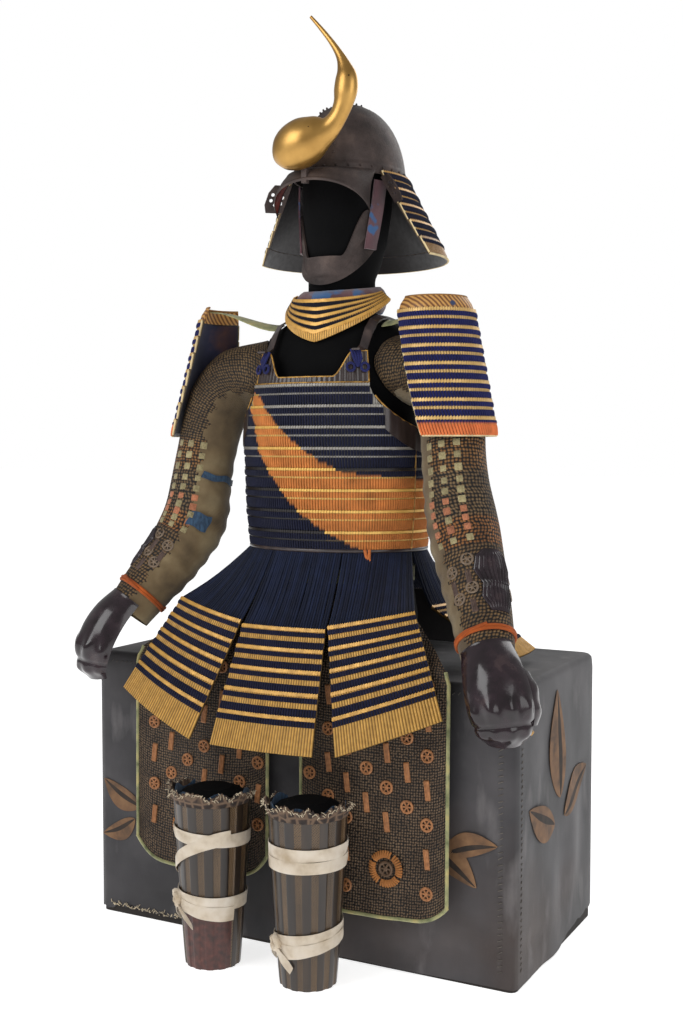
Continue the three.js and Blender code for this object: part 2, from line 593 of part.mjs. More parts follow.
const roundTurnback = (middle, r, i, sides) => {
  const turn = (2 * Math.PI * i) / sides;
  return middle.clone().addScaledVector(turnbackDown, r * Math.cos(turn))
    .addScaledVector(turnbackAcross, r * Math.sin(turn));
};
const turnbackHoles = steps(TURNBACK.holes, (i) => {
  const middle = roundTurnback(turnbackMiddle, TURNBACK.ring, i, TURNBACK.holes);
  return loft([-TURNBACK.depth, TURNBACK.depth].map((depth) => {
    const level = middle.clone().addScaledVector(turnbackOut, depth);
    return steps(TURNBACK.sides, (c) => roundTurnback(level, TURNBACK.hole, c, TURNBACK.sides));
  }));
});
addPair("turnback", cut(panel(turnbackGrid, CLOTH), ...turnbackHoles), IRON);

// Chin mask: a half mask of iron over the form's jaw, standing off towards the chin
const MASK = { reach: 80, columns: 13, rows: 6, chin: 1150, jaw: 1232, lip: 1200, cheek: 1282, side: 72,
  stand: 12, mouth: 26, corner: 58, rim: 1.5, boss: { row: 4, high: 4, wide: 14 } };
const maskOut = (z) => 2 * GAP + MASK.stand * (1 - ease(z, MASK.chin, MASK.jaw));
const maskGrid = (out) =>
  spread(0, 1, MASK.rows).map((t, r) =>
    spread(-MASK.reach, MASK.reach, MASK.columns).map((angle) => {
      const top = lerp(MASK.lip, MASK.cheek, ease(Math.abs(angle), MASK.mouth, MASK.corner));
      const foot = MASK.chin + MASK.side * (angle / MASK.reach) ** 2;
      const z = lerp(top, foot, t);
      return formPoint(HEAD_ROWS, z, rad(angle), maskOut(z) + out(r, angle));
    }),
  );
function maskRelief(r, angle) {
  const { boss } = MASK;
  const chin = r === boss.row ? boss.high * Math.exp(-((angle / boss.wide) ** 2)) : 0;
  return PLATE + (r === 0 ? MASK.rim : 0) + chin;
}
add("chin_mask", wall(maskGrid(maskRelief), maskGrid(() => 0)), IRON);

// Chin straps: bands of felted wool from the helmet's rim down over the mask's cheeks
const CHIN_STRAP = { top: 1336, foot: 1214, high: 73, low: 66, half: 9, off: PLATE + 2.6, thick: 3, rows: 6 };
const chinStrapGrid = (out) =>
  spread(0, 1, CHIN_STRAP.rows).map((t) =>
    [-1, 0, 1].map((side) => {
      const z = lerp(CHIN_STRAP.top, CHIN_STRAP.foot, t);
      const angle = lerp(CHIN_STRAP.high, CHIN_STRAP.low, t) + side * CHIN_STRAP.half;
      return formPoint(HEAD_ROWS, z, rad(angle), maskOut(z) + CHIN_STRAP.off + out);
    }),
  );
addPair("chin_strap", wall(chinStrapGrid(CHIN_STRAP.thick), chinStrapGrid(0)), WOOL);

// Collar roll: a padded roll of wool round the form's neck
const COLLAR = { low: 1106, front: 1140, back: 1160 };
const COLLAR_ROWS = [{ t: 0, out: 9 }, { t: 0.28, out: 20 }, { t: 0.6, out: 22.3 }, { t: 1, out: 13 }];
const collarGrid = (stand) =>
  COLLAR_ROWS.map((row) =>
    steps(FORM_COLUMNS, (c) => {
      const turn = formTurn(c);
      const top = lerp(COLLAR.front, COLLAR.back, (1 - Math.cos(turn)) / 2);
      const out = GAP + stand * row.out;
      return oval(NECK.a + out, NECK.b + out, NECK.y, turn, lerp(top, COLLAR.low, row.t));
    }),
  );
add("collar_roll", wall(collarGrid(1), collarGrid(0), true), WOOL);

// Throat guard: five laced lames that hang round the front of the neck
const THROAT = { reach: 84, columns: 13, lames: 5, top: 1122, rise: 16, foot: 1048, lift: 75, curve: 1.3,
  ledge: 2, lip: 0.02, high: { a: 83.4, b: 85.4, y: -14 }, low: { a: 101, b: 105, y: -10 } };
function throatPoint(angle, t, out) {
  const share = Math.abs(angle) / THROAT.reach;
  const z = lerp(THROAT.top + THROAT.rise * share ** 2, THROAT.foot + THROAT.lift * share ** THROAT.curve, t);
  const [a, b, y] = ["a", "b", "y"].map((name) => lerp(THROAT.high[name], THROAT.low[name], t));
  return oval(a + out, b + out, y, rad(angle), z);
}
const throatRows = steps(THROAT.lames, (k) => [
  { t: k / THROAT.lames, out: CLOTH + THROAT.ledge },
  { t: (k + 1) / THROAT.lames - (k < THROAT.lames - 1 ? THROAT.lip : 0), out: CLOTH },
]).flat();
const throatAngles = spread(-THROAT.reach, THROAT.reach, THROAT.columns);
const throatOuter = throatRows.map((row) => throatAngles.map((angle) => throatPoint(angle, row.t, row.out)));
const throatInner = [0, 1].map((t) => throatAngles.map((angle) => throatPoint(angle, t, 0)));
add("throat_guard", wall(throatOuter, throatInner), GOLD_LACQUER);

// Sleeves: cloth tubes faced with mail, from the form's shoulders down to the wrists.
// Lean is the angle by which a ring turns from facing sideways to facing down, where it is set.
const SLEEVE_COLUMNS = 12;
const ARM_ROWS = [
  { x: 152, y: -40, z: 1000, r: 60, lean: 0 },
  { x: 197, y: -47, z: 988, r: 60, lean: 33 },
  { x: 229, y: -59, z: 954, r: 57, lean: 58 },
  { x: 242, y: -72, z: 906, r: 54, lean: 74 },
  { x: 250, y: -84, z: 853, r: 52 },
  { x: 260, y: -95, z: 800, r: 53 },
  { x: 270, y: -104, z: 755, r: 56 },
  { x: 284, y: -114, z: 712, r: 57 },
  { x: 303, y: -131, z: 664, r: 54 },
  { x: 322, y: -151, z: 616, r: 51 },
  { x: 343, y: -177, z: 570, r: 46 },
  { x: 357, y: -197, z: 540, r: 42 },
  { x: 365, y: -207, z: 524, r: 40 },
];

// Middle, radius and frame of a tube at a share of the way through its rows
const FORWARD = -0.1; // how far a leaning ring also faces forwards
function tubeAt(rows, place) {
  const last = rows.length - 1;
  const i = Math.min(Math.floor(place), last - 1);
  const t = place - i;
  const spot = (row) => vec(row.x, row.y, row.z);
  const facing = (k) => {
    const lean = rad(rows[k].lean ?? 0);
    if (rows[k].lean !== undefined) return vec(Math.cos(lean), FORWARD, -Math.sin(lean));
    return spot(rows[Math.min(k + 1, last)]).sub(spot(rows[Math.max(k - 1, 0)])).normalize();
  };
  const middle = spot(rows[i]).lerp(spot(rows[i + 1]), t);
  const way = facing(i).lerp(facing(i + 1), t).normalize();
  return { middle, way, r: lerp(rows[i].r, rows[i + 1].r, t) };
}

// A ring, or an arc, of a tube: its angles are counted from the direction that it faces
function tubeArc(rows, place, faces, angles, out) {
  const { middle, way, r } = tubeAt(rows, place);
  const front = faces.clone().addScaledVector(way, -faces.dot(way)).normalize();
  const side = way.clone().cross(front);
  return angles.map((angle, c) => {
    const reach = r + (typeof out === "function" ? out(c) : out);
    const [ahead, aside] = [reach * Math.cos(rad(angle)), reach * Math.sin(rad(angle))];
    return middle.clone().addScaledVector(front, ahead).addScaledVector(side, aside);
  });
}

// The wearer's right arm is held closer and its hand higher, growing along the arm
const ARMS = [
  { name: "left", draw: 0, lift: 0 },
  { name: "right", draw: 26, lift: 40 },
];
const ELBOW = { high: 900, low: 640 };
const WRIST_ZONE = { high: 760, low: 540 };
const armRow = (row, arm) => {
  const lower = ease(-row.z, -ELBOW.high, -ELBOW.low);
  const hand = ease(-row.z, -WRIST_ZONE.high, -WRIST_ZONE.low);
  return { ...row, x: row.x - arm.draw * lower, z: row.z + arm.lift * hand };
};
const ALL_ROUND = steps(SLEEVE_COLUMNS, (c) => (360 * c) / SLEEVE_COLUMNS);
const ARM_OUT = vec(0.85, -0.5, 0.15);
const GATHERS = [0, 0.6, 0, 0, 0.8, 1.8, 2.2, 1.6, 0.6, 0, 0, 0, 0]; // of the cloth at each ring
const GATHER_WAVE = { round: 2.3, along: 1.7 };

// The shoulder end is cut to lie against the form
const SHOULDER_EASE = 2.1;
function againstForm(point) {
  const deep = (point.y - read(TORSO_ROWS, "z", point.z, "y")) / read(TORSO_ROWS, "z", point.z, "b");
  return point.setX(read(TORSO_ROWS, "z", point.z, "a") * Math.sqrt(1 - deep * deep) + SHOULDER_EASE);
}
function sleeveGrid(rows, inward) {
  return rows.map((row, i) => {
    const wave = (c) => 1 + Math.sin(GATHER_WAVE.round * c + GATHER_WAVE.along * i);
    const ring = tubeArc(rows, i, ARM_OUT, ALL_ROUND, (c) => (inward ? -inward : GATHERS[i] * wave(c)));
    return i === 0 ? ring.map(againstForm) : ring;
  });
}

// A shell over part of a tube, its arc given row by row
function shell(rows, table, faces, columns, base, relief) {
  const grid = (out) => table.map((row, r) =>
    tubeArc(rows, row.place, faces, spread(row.from, row.to, columns), (c) => base + out(r, c)));
  return wall(grid((r, c) => PLATE + relief(r, c)), grid(() => 0));
}

// Forearm plates: ribbed hide in the outline of a gourd, laced over the sleeve
const FOREARM_ROWS = [
  { place: 7.75, from: -15, to: 15 },
  { place: 7.95, from: -30, to: 30 },
  { place: 8.4, from: -38, to: 38 },
  { place: 8.9, from: -27, to: 27 },
  { place: 9.3, from: -33, to: 33 },
  { place: 9.75, from: -20, to: 20 },
];
const FOREARM_OFF = 1.7; // clear of the sleeve's gathers
const FOREARM_RIB = 1.6;
const PLATE_COLUMNS = 9;
const forearmRibs = (r, c) => (r > 0 && r < FOREARM_ROWS.length - 1 ? FOREARM_RIB * (c % 2) : 0);

// Wrist cords: a silk cord tied round each cuff
const WRIST = { place: 10.35, half: 0.12, out: 0.6, thick: 5, edge: 2 };
function wristCord(rows) {
  const ring = (step, out) => tubeArc(rows, WRIST.place + step * WRIST.half, ARM_OUT, ALL_ROUND, out);
  return wall([-1, 0, 1].map((s) => ring(s, WRIST.out + (s === 0 ? WRIST.thick : WRIST.edge))),
    [-1, 0, 1].map((s) => ring(s, WRIST.out)), true);
}

// Hand plates: lacquered hide over the back of the hand, its knuckles raised, and a thumb plate
const HAND_ROWS = [
  { x: 357, y: -197, z: 540, r: 42 },
  { x: 373, y: -214, z: 512, r: 50 },
  { x: 386, y: -225, z: 482, r: 55 },
  { x: 395, y: -231, z: 452, r: 54 },
  { x: 399, y: -234, z: 428, r: 44 },
  { x: 398, y: -231, z: 412, r: 28 },
];
const HAND_OUT = vec(0.35, -0.93, 0.1);
const HAND_ARCS = HAND_ROWS.map((row, place) => ({ place, from: -62, to: 62 }));
const HAND_OFF = 0.7;
const KNUCKLES = [0, 0, 0, 4.5, 3, 0]; // how far they stand up on each row
const knuckles = (r, c) => KNUCKLES[r] * (c % 2);
const THUMB_ARCS = [
  { place: 1.4, from: -100, to: -62.8 },
  { place: 2, from: -108, to: -62.8 },
  { place: 3, from: -106, to: -62.8 },
  { place: 3.7, from: -98, to: -62.8 },
];
const THUMB = { columns: 5, ridge: 3 };
const thumbRidge = (r, c) => (c === 2 && r > 0 ? THUMB.ridge : 0);
for (const arm of ARMS) {
  const rows = ARM_ROWS.map((row) => armRow(row, arm));
  const hand = HAND_ROWS.map((row) => armRow(row, arm));
  addOn(arm.name, "sleeve", wall(sleeveGrid(rows, 0), sleeveGrid(rows, CLOTH), true), MAIL);
  addOn(arm.name, "forearm_plate", shell(rows, FOREARM_ROWS, ARM_OUT, PLATE_COLUMNS, FOREARM_OFF, forearmRibs),
    BROWN_LACQUER);
  addOn(arm.name, "wrist_cord", wristCord(rows), ORANGE_SILK);
  addOn(arm.name, "hand_plate", shell(hand, HAND_ARCS, HAND_OUT, PLATE_COLUMNS, HAND_OFF, knuckles),
    BROWN_LACQUER);
  addOn(arm.name, "thumb_plate", shell(hand, THUMB_ARCS, HAND_OUT, THUMB.columns, HAND_OFF, thumbRidge),
    BROWN_LACQUER);
}

// Shoulder guards: seven laced lames curved round the upper arm, under a plain crown plate. The
// wearer's left one has swung to the front and the right one hangs at the arm's outside.
const SODE = { lames: 7, columns: 9, lip: 0.006, inner: 4,
  top: { x: 201, y: -54, r: 64, z: 1096 }, foot: { x: 231, y: -72, r: 82, z: 884 } };
const SODE_ARCS = {
  left: { top: [-42, 150], foot: [-6, 172] },
  right: { top: [30, 152], foot: [44, 176] },
};
const CROWN_ROWS = [{ rise: 24, draw: -11 }, { rise: 12, draw: -3 }, { rise: GAP, draw: 0 }];
const sodeRows = steps(SODE.lames, (k) => [
  { t: k / SODE.lames, out: PLATE + LEDGE },
  { t: (k + 1) / SODE.lames - (k < SODE.lames - 1 ? SODE.lip : 0), out: PLATE + LAME_TUCK },
]).flat();
const sodeAcross = spread(0, 1, SODE.columns);
function sodePoint(arcs, t, u, out) {
  const [x, y, r, z] = ["x", "y", "r", "z"].map((name) => lerp(SODE.top[name], SODE.foot[name], t));
  const [from, to] = [0, 1].map((end) => lerp(arcs.top[end], arcs.foot[end], t));
  return oval(r + out, r + out, y, rad(lerp(from, to, u)), z).add(vec(x, 0, 0));
}
for (const [side, arcs] of Object.entries(SODE_ARCS)) {
  const outer = sodeRows.map((row) => sodeAcross.map((u) => sodePoint(arcs, row.t, u, row.out)));
  const inner = spread(0, 1, SODE.inner).map((t) => sodeAcross.map((u) => sodePoint(arcs, t, u, 0)));
  addOn(side, "shoulder_guard", wall(outer, inner), NAVY_LACING);
  const crown = (out) => CROWN_ROWS.map((row) =>
    sodeAcross.map((u) => sodePoint(arcs, 0, u, row.draw + out).add(vec(0, 0, row.rise))));
  addOn(side, "guard_crown", wall(crown(PLATE), crown(0)), BROWN_LACQUER);
}

// Guard ties: a band of brocade from the form's shoulder out to each crown plate
const TIE = { from: 104, front: -64, back: -40, thick: 1.6, end: 3, level: 18, off: 1.2, inside: 7,
  shoulder: 140, rows: 9 };
const tieGrid = (lift) =>
  spread(0, 1, TIE.rows).map((t) =>
    spread(TIE.front, TIE.back, 3).map((y) => {
      const reach = SODE.top.r - TIE.inside;
      const end = SODE.top.x + Math.sqrt(reach * reach - (y - SODE.top.y) ** 2) - TIE.end;
      const x = lerp(TIE.from, end, t);
      const slope = lerp(shoulderHeight(TIE.from, y), SODE.top.z + TIE.level, ease(t, 0, 1));
      return vec(x, y, Math.max(slope, shoulderHeight(Math.min(x, TIE.shoulder), y)) + TIE.off + lift);
    }),
  );
addPair("guard_tie", wall(tieGrid(TIE.thick), tieGrid(0)), BROCADE);

// Shin guards: upright iron splints on cloth, each standing round a plain post of the display
const shinRadius = (z) =>
  lerp(SHIN.low, SHIN.high, Math.pow(clamp(z / SHIN.height, 0, SHIN.most), SHIN.swell));
const shinPoint = (degrees, z, out) => {
  const r = shinRadius(z) + out;
  return oval(r, r, SHIN.y, rad(degrees), z).add(vec(SHIN.x, 0, 0));
};
const SHIN_LEVELS = [SHIN.height, 190, 95, 0];
const SPLINT_STAND = 1.6;
const shinAngles = spread(-SHIN.reach, SHIN.reach, 17);
const splints = SHIN_LEVELS.map((z) =>
  shinAngles.map((angle, c) => shinPoint(angle, z, SPLINT_STAND * (c % 2))));
const shinBack = SHIN_LEVELS.map((z) => shinAngles.map((angle) => shinPoint(angle, z, -PLATE)));
addPair("shin_guard", wall(splints, shinBack), LEATHER);
const POST = { sides: 12, off: 0.8 };
const POST_ROWS = [
  { z: 0, draw: 0 },
  { z: 95, draw: 0 },
  { z: 190, draw: 0 },
  { z: 275, draw: 0 },
  { z: 291, draw: 8 },
  { z: 298, draw: 26 },
];
const postRings = POST_ROWS.map((row) => steps(POST.sides, (c) => {
  const level = Math.min(row.z, SHIN.height);
  return shinPoint((360 * c) / POST.sides, level, -row.draw - PLATE - POST.off).setZ(row.z);
}));
addPair("shin_post", loft(postRings), BLACK_CLOTH);

// Knee flaps: torn cloth above each shin guard, its edge ragged
const RAGS = [10, 20, 13, 24, 17, 26, 15, 22, 28, 18, 25, 14, 21, 27, 16, 22, 11];
const KNEE = { flare: 7, back: -1 };
const kneeGrid = (out) => [1, 0.5, 0].map((t) =>
  shinAngles.map((angle, c) => shinPoint(angle, SHIN.height + GAP + t * RAGS[c], out + KNEE.flare * t)));
addPair("knee_flap", wall(kneeGrid(CLOTH), kneeGrid(KNEE.back)), LEATHER);

// Shin ties: cotton bands round each guard, knotted at the front with two free ends
const SHIN_TIES = [
  { name: "upper", z: 208, slant: 9, turn: 25, knot: -58, ends: [-34, -12] },
  { name: "lower", z: 112, slant: -12, turn: 10, knot: -40, ends: [-30, 14] },
];
const COTTON_BAND = { high: 24, sides: 16, inner: 3.5, outer: 5.5 };
const KNOT = { out: 8, sides: 6, depth: 0.45 };
const KNOT_ROWS = [{ up: -9, r: 4 }, { up: -4, r: 10 }, { up: 4, r: 10 }, { up: 9, r: 4 }];
const TIE_END = { half: 6.3, drop: 4, length: 46, inner: 6, outer: 8 };
const bandAngles = steps(COTTON_BAND.sides, (c) => (360 * c) / COTTON_BAND.sides);
for (const tie of SHIN_TIES) {
  const level = (angle, up) => tie.z + tie.slant * Math.sin(rad(angle + tie.turn)) + up * COTTON_BAND.high;
  const ring = (out) =>
    [0.5, 0, -0.5].map((up) => bandAngles.map((angle) => shinPoint(angle, level(angle, up), out)));
  const band = wall(ring(COTTON_BAND.outer), ring(COTTON_BAND.inner), true);
  const knot = loft(KNOT_ROWS.map((row) => steps(KNOT.sides, (c) => {
    const turn = (2 * Math.PI * c) / KNOT.sides;
    const out = KNOT.out + KNOT.depth * row.r * Math.sin(turn);
    return shinPoint(tie.knot + row.r * Math.cos(turn), level(tie.knot, 0) + row.up, out);
  })));
  const ends = tie.ends.map((swing) => {
    const spot = (t, way, out) => {
      const z = level(tie.knot, 0) - TIE_END.drop - TIE_END.length * t;
      return shinPoint(tie.knot + swing * t + way * TIE_END.half, z, out);
    };
    const strip = (out) => [0, 0.5, 1].map((t) => [-1, 1].map((way) => spot(t, way, out)));
    return wall(strip(TIE_END.outer), strip(TIE_END.inner));
  });
  addPair("shin_tie_" + tie.name, join(band, knot, ...ends), COTTON);
}

export default armour;
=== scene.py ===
import math
import random

import bmesh
import bpy
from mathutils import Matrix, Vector


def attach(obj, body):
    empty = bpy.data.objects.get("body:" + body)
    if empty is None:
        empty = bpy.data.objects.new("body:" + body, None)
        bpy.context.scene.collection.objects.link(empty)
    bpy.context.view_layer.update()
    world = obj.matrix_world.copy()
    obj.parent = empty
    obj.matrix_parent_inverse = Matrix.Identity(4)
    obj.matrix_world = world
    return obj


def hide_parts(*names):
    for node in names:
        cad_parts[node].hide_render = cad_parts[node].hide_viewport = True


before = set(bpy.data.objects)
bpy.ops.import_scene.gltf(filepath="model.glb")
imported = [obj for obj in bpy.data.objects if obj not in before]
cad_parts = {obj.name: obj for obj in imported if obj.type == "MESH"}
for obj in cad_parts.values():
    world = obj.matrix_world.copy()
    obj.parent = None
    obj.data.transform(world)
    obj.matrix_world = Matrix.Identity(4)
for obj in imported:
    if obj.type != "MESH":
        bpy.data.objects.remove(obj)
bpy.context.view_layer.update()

# Studio: a pale floor that runs out of sight, a white room that sheds little light and three large
# soft lamps, with the camera where the armour is seen from, a little to the wearer's left.
PICTURE_HEIGHT = 1024
FOCAL_LENGTH = 1300  # in pixels of that picture
SENSOR = 36
CAMERA_PLACE = (1.1048, -2.1120, 0.8727)
CAMERA_DOWN = 3.0457
CAMERA_TURN = 27.7876
FLOOR_REACH = 30
ROOM_WHITE = 1.0
ROOM_LIGHT = 0.34
FLOOR_GLOW = 0.74
LAMPS = (
    ("key_lamp", (-1.6, -3.0, 2.6), (0, -0.1, 0.8), 2.0, 50),
    ("fill_lamp", (3.0, -1.8, 1.9), (0, 0, 0.7), 2.0, 27),
    ("rim_lamp", (0.6, 2.6, 2.6), (0, 0, 0.9), 2.2, 36),
)

camera = bpy.data.objects.new("camera", bpy.data.cameras.new("camera"))
camera.data.sensor_fit = "VERTICAL"
camera.data.sensor_height = SENSOR
camera.data.lens = FOCAL_LENGTH / PICTURE_HEIGHT * SENSOR
camera.location = CAMERA_PLACE
camera.rotation_euler = (math.radians(90 - CAMERA_DOWN), 0, math.radians(CAMERA_TURN))
bpy.context.collection.objects.link(camera)
bpy.context.scene.camera = camera
bpy.context.scene.view_settings.view_transform = "Standard"


def hue(red, green, blue):
    """A colour as it looks on a screen, from 0 to 255, as the light that it reflects."""
    def light(level):
        share = level / 255
        return share / 12.92 if share <= 0.04045 else ((share + 0.055) / 1.055) ** 2.4
    return (light(red), light(green), light(blue), 1)


def finish(name, roughness, **sockets):
    """A new material, with the shader's own sockets set."""
    material = bpy.data.materials.new(name)
    material.use_nodes = True
    shader = material.node_tree.nodes["Principled BSDF"]
    shader.inputs["Roughness"].default_value = roughness
    for socket, value in sockets.items():
        shader.inputs[socket.replace("_", " ")].default_value = value
    return material


def node(material, kind, settings=None, **sockets):
    """A node of a material, its sockets set to numbers or linked to other nodes' outputs."""
    tree = material.node_tree
    made = tree.nodes.new("ShaderNode" + kind)
    for setting, value in (settings or {}).items():
        setattr(made, setting, value)
    for socket, value in sockets.items():
        target = made.inputs[int(socket[1:])] if socket[1:].isdigit() else made.inputs[socket]
        if isinstance(value, bpy.types.NodeSocket):
            tree.links.new(value, target)
        else:
            target.default_value = value
    return made


def grain(material, scale, detail=3.0, stretch=(1, 1, 1), attribute=None):
    """Soft cloudy noise over the piece, from 0 to 1. The scale counts its clouds in a metre."""
    if attribute:
        place = node(material, "Attribute", {"attribute_name": attribute}).outputs["Vector"]
    else:
        place = node(material, "TexCoord").outputs["Object"]
    mapped = node(material, "Mapping", Vector=place, Scale=stretch).outputs[0]
    return node(material, "TexNoise", Vector=mapped, Scale=scale, Detail=detail).outputs[0]


def shades(material, share, *stops):
    """Colours laid along a share from 0 to 1. Each stop is a place and a colour."""
    ramp = node(material, "ValToRGB", Fac=share)
    band = ramp.color_ramp
    while len(band.elements) < len(stops):
        band.elements.new(0.5)
    for element, (place, colour) in zip(band.elements, stops):
        element.position = place
        element.color = colour
    return ramp.outputs[0]


def blend(material, share, first, second, kind="MIX"):
    """One colour laid over another by a share."""
    made = node(material, "Mix", {"data_type": "RGBA", "blend_type": kind})
    for socket, value in ((made.inputs[0], share), (made.inputs[6], first), (made.inputs[7], second)):
        if isinstance(value, bpy.types.NodeSocket):
            material.node_tree.links.new(value, socket)
        else:
            socket.default_value = value
    return made.outputs[2]


def sums(material, kind, first, second):
    """Arithmetic on two numbers."""
    return node(material, "Math", {"operation": kind}, i0=first, i1=second).outputs[0]


def wear(material, colour=None, height=None, depth=0.0005, strength=1.0, roughness=None):
    """Gives the shader its colour, its relief in metres and its roughness."""
    shader = material.node_tree.nodes["Principled BSDF"]
    link = material.node_tree.links.new
    if colour is not None:
        link(colour, shader.inputs["Base Color"])
    if roughness is not None:
        link(roughness, shader.inputs["Roughness"])
    if height is not None:
        bump = node(material, "Bump", Height=height, Distance=depth, Strength=strength)
        link(bump.outputs[0], shader.inputs["Normal"])
    return material


floor_paint = finish("floor_paint", 0.9)
wear(floor_paint, shades(floor_paint, grain(floor_paint, 3), (0, hue(246, 246, 246)),
                         (1, hue(252, 252, 252))))
floor_paint.node_tree.nodes["Principled BSDF"].inputs["Emission Color"].default_value = (1, 1, 1, 1)
floor_paint.node_tree.nodes["Principled BSDF"].inputs["Emission Strength"].default_value = FLOOR_GLOW
bpy.ops.mesh.primitive_plane_add(size=2 * FLOOR_REACH)
floor = bpy.context.object
floor.name = "floor"
floor.data.materials.append(floor_paint)

room = bpy.data.worlds.new("room")
room.use_nodes = True
backdrop = room.node_tree.nodes["Background"]
backdrop.inputs["Color"].default_value = (1, 1, 1, 1)
seen = room.node_tree.nodes.new("ShaderNodeLightPath")
level = room.node_tree.nodes.new("ShaderNodeMapRange")
level.inputs["To Min"].default_value = ROOM_LIGHT
level.inputs["To Max"].default_value = ROOM_WHITE
room.node_tree.links.new(seen.outputs["Is Camera Ray"], level.inputs["Value"])
room.node_tree.links.new(level.outputs[0], backdrop.inputs["Strength"])
bpy.context.scene.world = room
for name, place, target, size, power in LAMPS:
    lamp = bpy.data.objects.new(name, bpy.data.lights.new(name, "AREA"))
    lamp.data.size = size
    lamp.data.energy = power
    lamp.location = place
    lamp.rotation_euler = (Vector(target) - Vector(place)).to_track_quat("-Z", "Y").to_euler()
    bpy.context.collection.objects.link(lamp)

# Trunk: a plain wooden box under a fitted cover of oiled canvas. The cover is sewn at its upright
# corners and round its top, bulges a little, is creased, and is torn along its foot at one end.
MM = 0.001
MERGE = 1e-6  # metres within which points are one
TRUNK_LENGTH = 820
TRUNK_WIDTH = 405
TRUNK_TOP = 490
TRUNK_CORNER = 14
CANVAS_THICKNESS = 2
COVER_ROWS = ((7, 2.6, 0), (70, 2.2, 0), (190, 1.6, 0), (340, 2.4, 0), (470, 0.5, 0), (484, 0, 2),
              (490, 0, 9))
CREASES = (  # side, from and to as millimetres along it and up, width, depth
    (0, (520, 20), (806, 66), 16, 3.4),
    (0, (40, 40), (180, 52), 14, 2.2),
    (0, (600, 120), (640, 430), 30, 2.0),
    (0, (120, 90), (90, 400), 34, 2.2),
    (0, (330, 20), (350, 330), 40, 2.0),
    (0, (690, 330), (770, 180), 26, 2.4),
    (1, (10, 70), (150, 46), 16, 3.2),
    (1, (190, 30), (240, 250), 30, 2.6),
    (1, (300, 60), (360, 330), 34, 2.4),
    (1, (60, 180), (140, 420), 30, 1.6),
    (2, (200, 60), (260, 400), 40, 2.2),
    (2, (560, 40), (520, 380), 40, 2.2),
    (3, (120, 50), (160, 380), 34, 2.2),
)


def lerp(first, second, share):
    return first + (second - first) * share


def ease(value, low, high):
    """From 0 at low to 1 at high, with a soft start and end."""
    share = min(max((value - low) / (high - low), 0), 1)
    return share * share * (3 - 2 * share)


def between(rows, at):
    """The other columns of a table, read between its rows by its first column."""
    i = 1
    while i < len(rows) - 1 and at > rows[i][0]:
        i += 1
    low, high = rows[i - 1], rows[i]
    share = min(max((at - low[0]) / (high[0] - low[0]), 0), 1)
    return [lerp(a, b, share) for a, b in zip(low[1:], high[1:])]


def spread(start, end, count):
    return [lerp(start, end, i / (count - 1)) for i in range(count)]


def skin(rows, ring=False, start=0, turned=False):
    """The faces of a grid of points, rows by columns. A ring joins its last column to its first."""
    columns = len(rows[0])
    faces = []
    for r in range(len(rows) - 1):
        for c in range(columns if ring else columns - 1):
            d = (c + 1) % columns
            face = [r * columns + c, (r + 1) * columns + c, (r + 1) * columns + d, r * columns + d]
            faces.append([start + i for i in (reversed(face) if turned else face)])
    return faces


def shell(outer, inner, ring=False):
    """A closed wall between two like grids of points."""
    columns = len(outer[0])
    half = len(outer) * columns
    points = [p for row in outer for p in row] + [p for row in inner for p in row]
    faces = skin(outer, ring) + skin(inner, ring, half, turned=True)
    foot = (len(outer) - 1) * columns
    for c in range(columns if ring else columns - 1):
        d = (c + 1) % columns
        faces.append([c, d, half + d, half + c])
        faces.append([foot + d, foot + c, half + foot + c, half + foot + d])
    if not ring:
        for c, sign in ((0, 1), (columns - 1, -1)):
            for r in range(len(outer) - 1):
                a, b = r * columns + c, (r + 1) * columns + c
                faces.append([a, half + a, half + b, b][::sign])
    return points, faces


def plain_mesh(name, points, faces, sharp=40, dyes=None):
    """A smooth mesh from points in millimetres, facing outwards, with edges over the angle kept crisp.

    Dyes are one colour for each point.
    """
    mesh = bpy.data.meshes.new(name)
    mesh.from_pydata([[c * MM for c in p] for p in points], [], faces)
    if dyes:
        layer = mesh.attributes.new("dye", "FLOAT_COLOR", "POINT")
        layer.data.foreach_set("color", [x for dye in dyes for x in dye])
    shape = bmesh.new()
    shape.from_mesh(mesh)
    bmesh.ops.remove_doubles(shape, verts=shape.verts, dist=MERGE)
    bmesh.ops.dissolve_degenerate(shape, edges=shape.edges, dist=MERGE)
    bmesh.ops.recalc_face_normals(shape, faces=shape.faces)
    for face in shape.faces:
        face.smooth = True
    for edge in shape.edges:
        if len(edge.link_faces) == 2 and edge.calc_face_angle() > math.radians(sharp):
            edge.smooth = False
    shape.to_mesh(mesh)
    shape.free()
    return mesh


def fix(piece, slot, *nodes):
    """Fastens a finished piece to the armour and hides the solids that it stands for. Its finish, the slot,
    is not used.
    """
    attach(piece, "root")
    if nodes:
        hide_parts(*nodes)
    return piece


def piece(name, points, faces, material, slot, *nodes, sharp=40):
    """A finished piece from its points and faces."""
    made = bpy.data.objects.new(name, plain_mesh(name, points, faces, sharp))
    made.data.materials.append(material)
    bpy.context.collection.objects.link(made)
    return fix(made, slot, *nodes)


def sides_of(length, width, corner):
    """The four sides of a rounded rectangle: start, direction, outward direction and run."""
    x, y = length / 2, width / 2
    starts = ((-x + corner, -y), (x, -y + corner), (x - corner, y), (-x, y - corner))
    ways = ((1, 0), (0, 1), (-1, 0), (0, -1))
    runs = (length - 2 * corner, width - 2 * corner)
    return [(starts[s], ways[s], (ways[s][1], -ways[s][0]), runs[s % 2]) for s in range(4)]


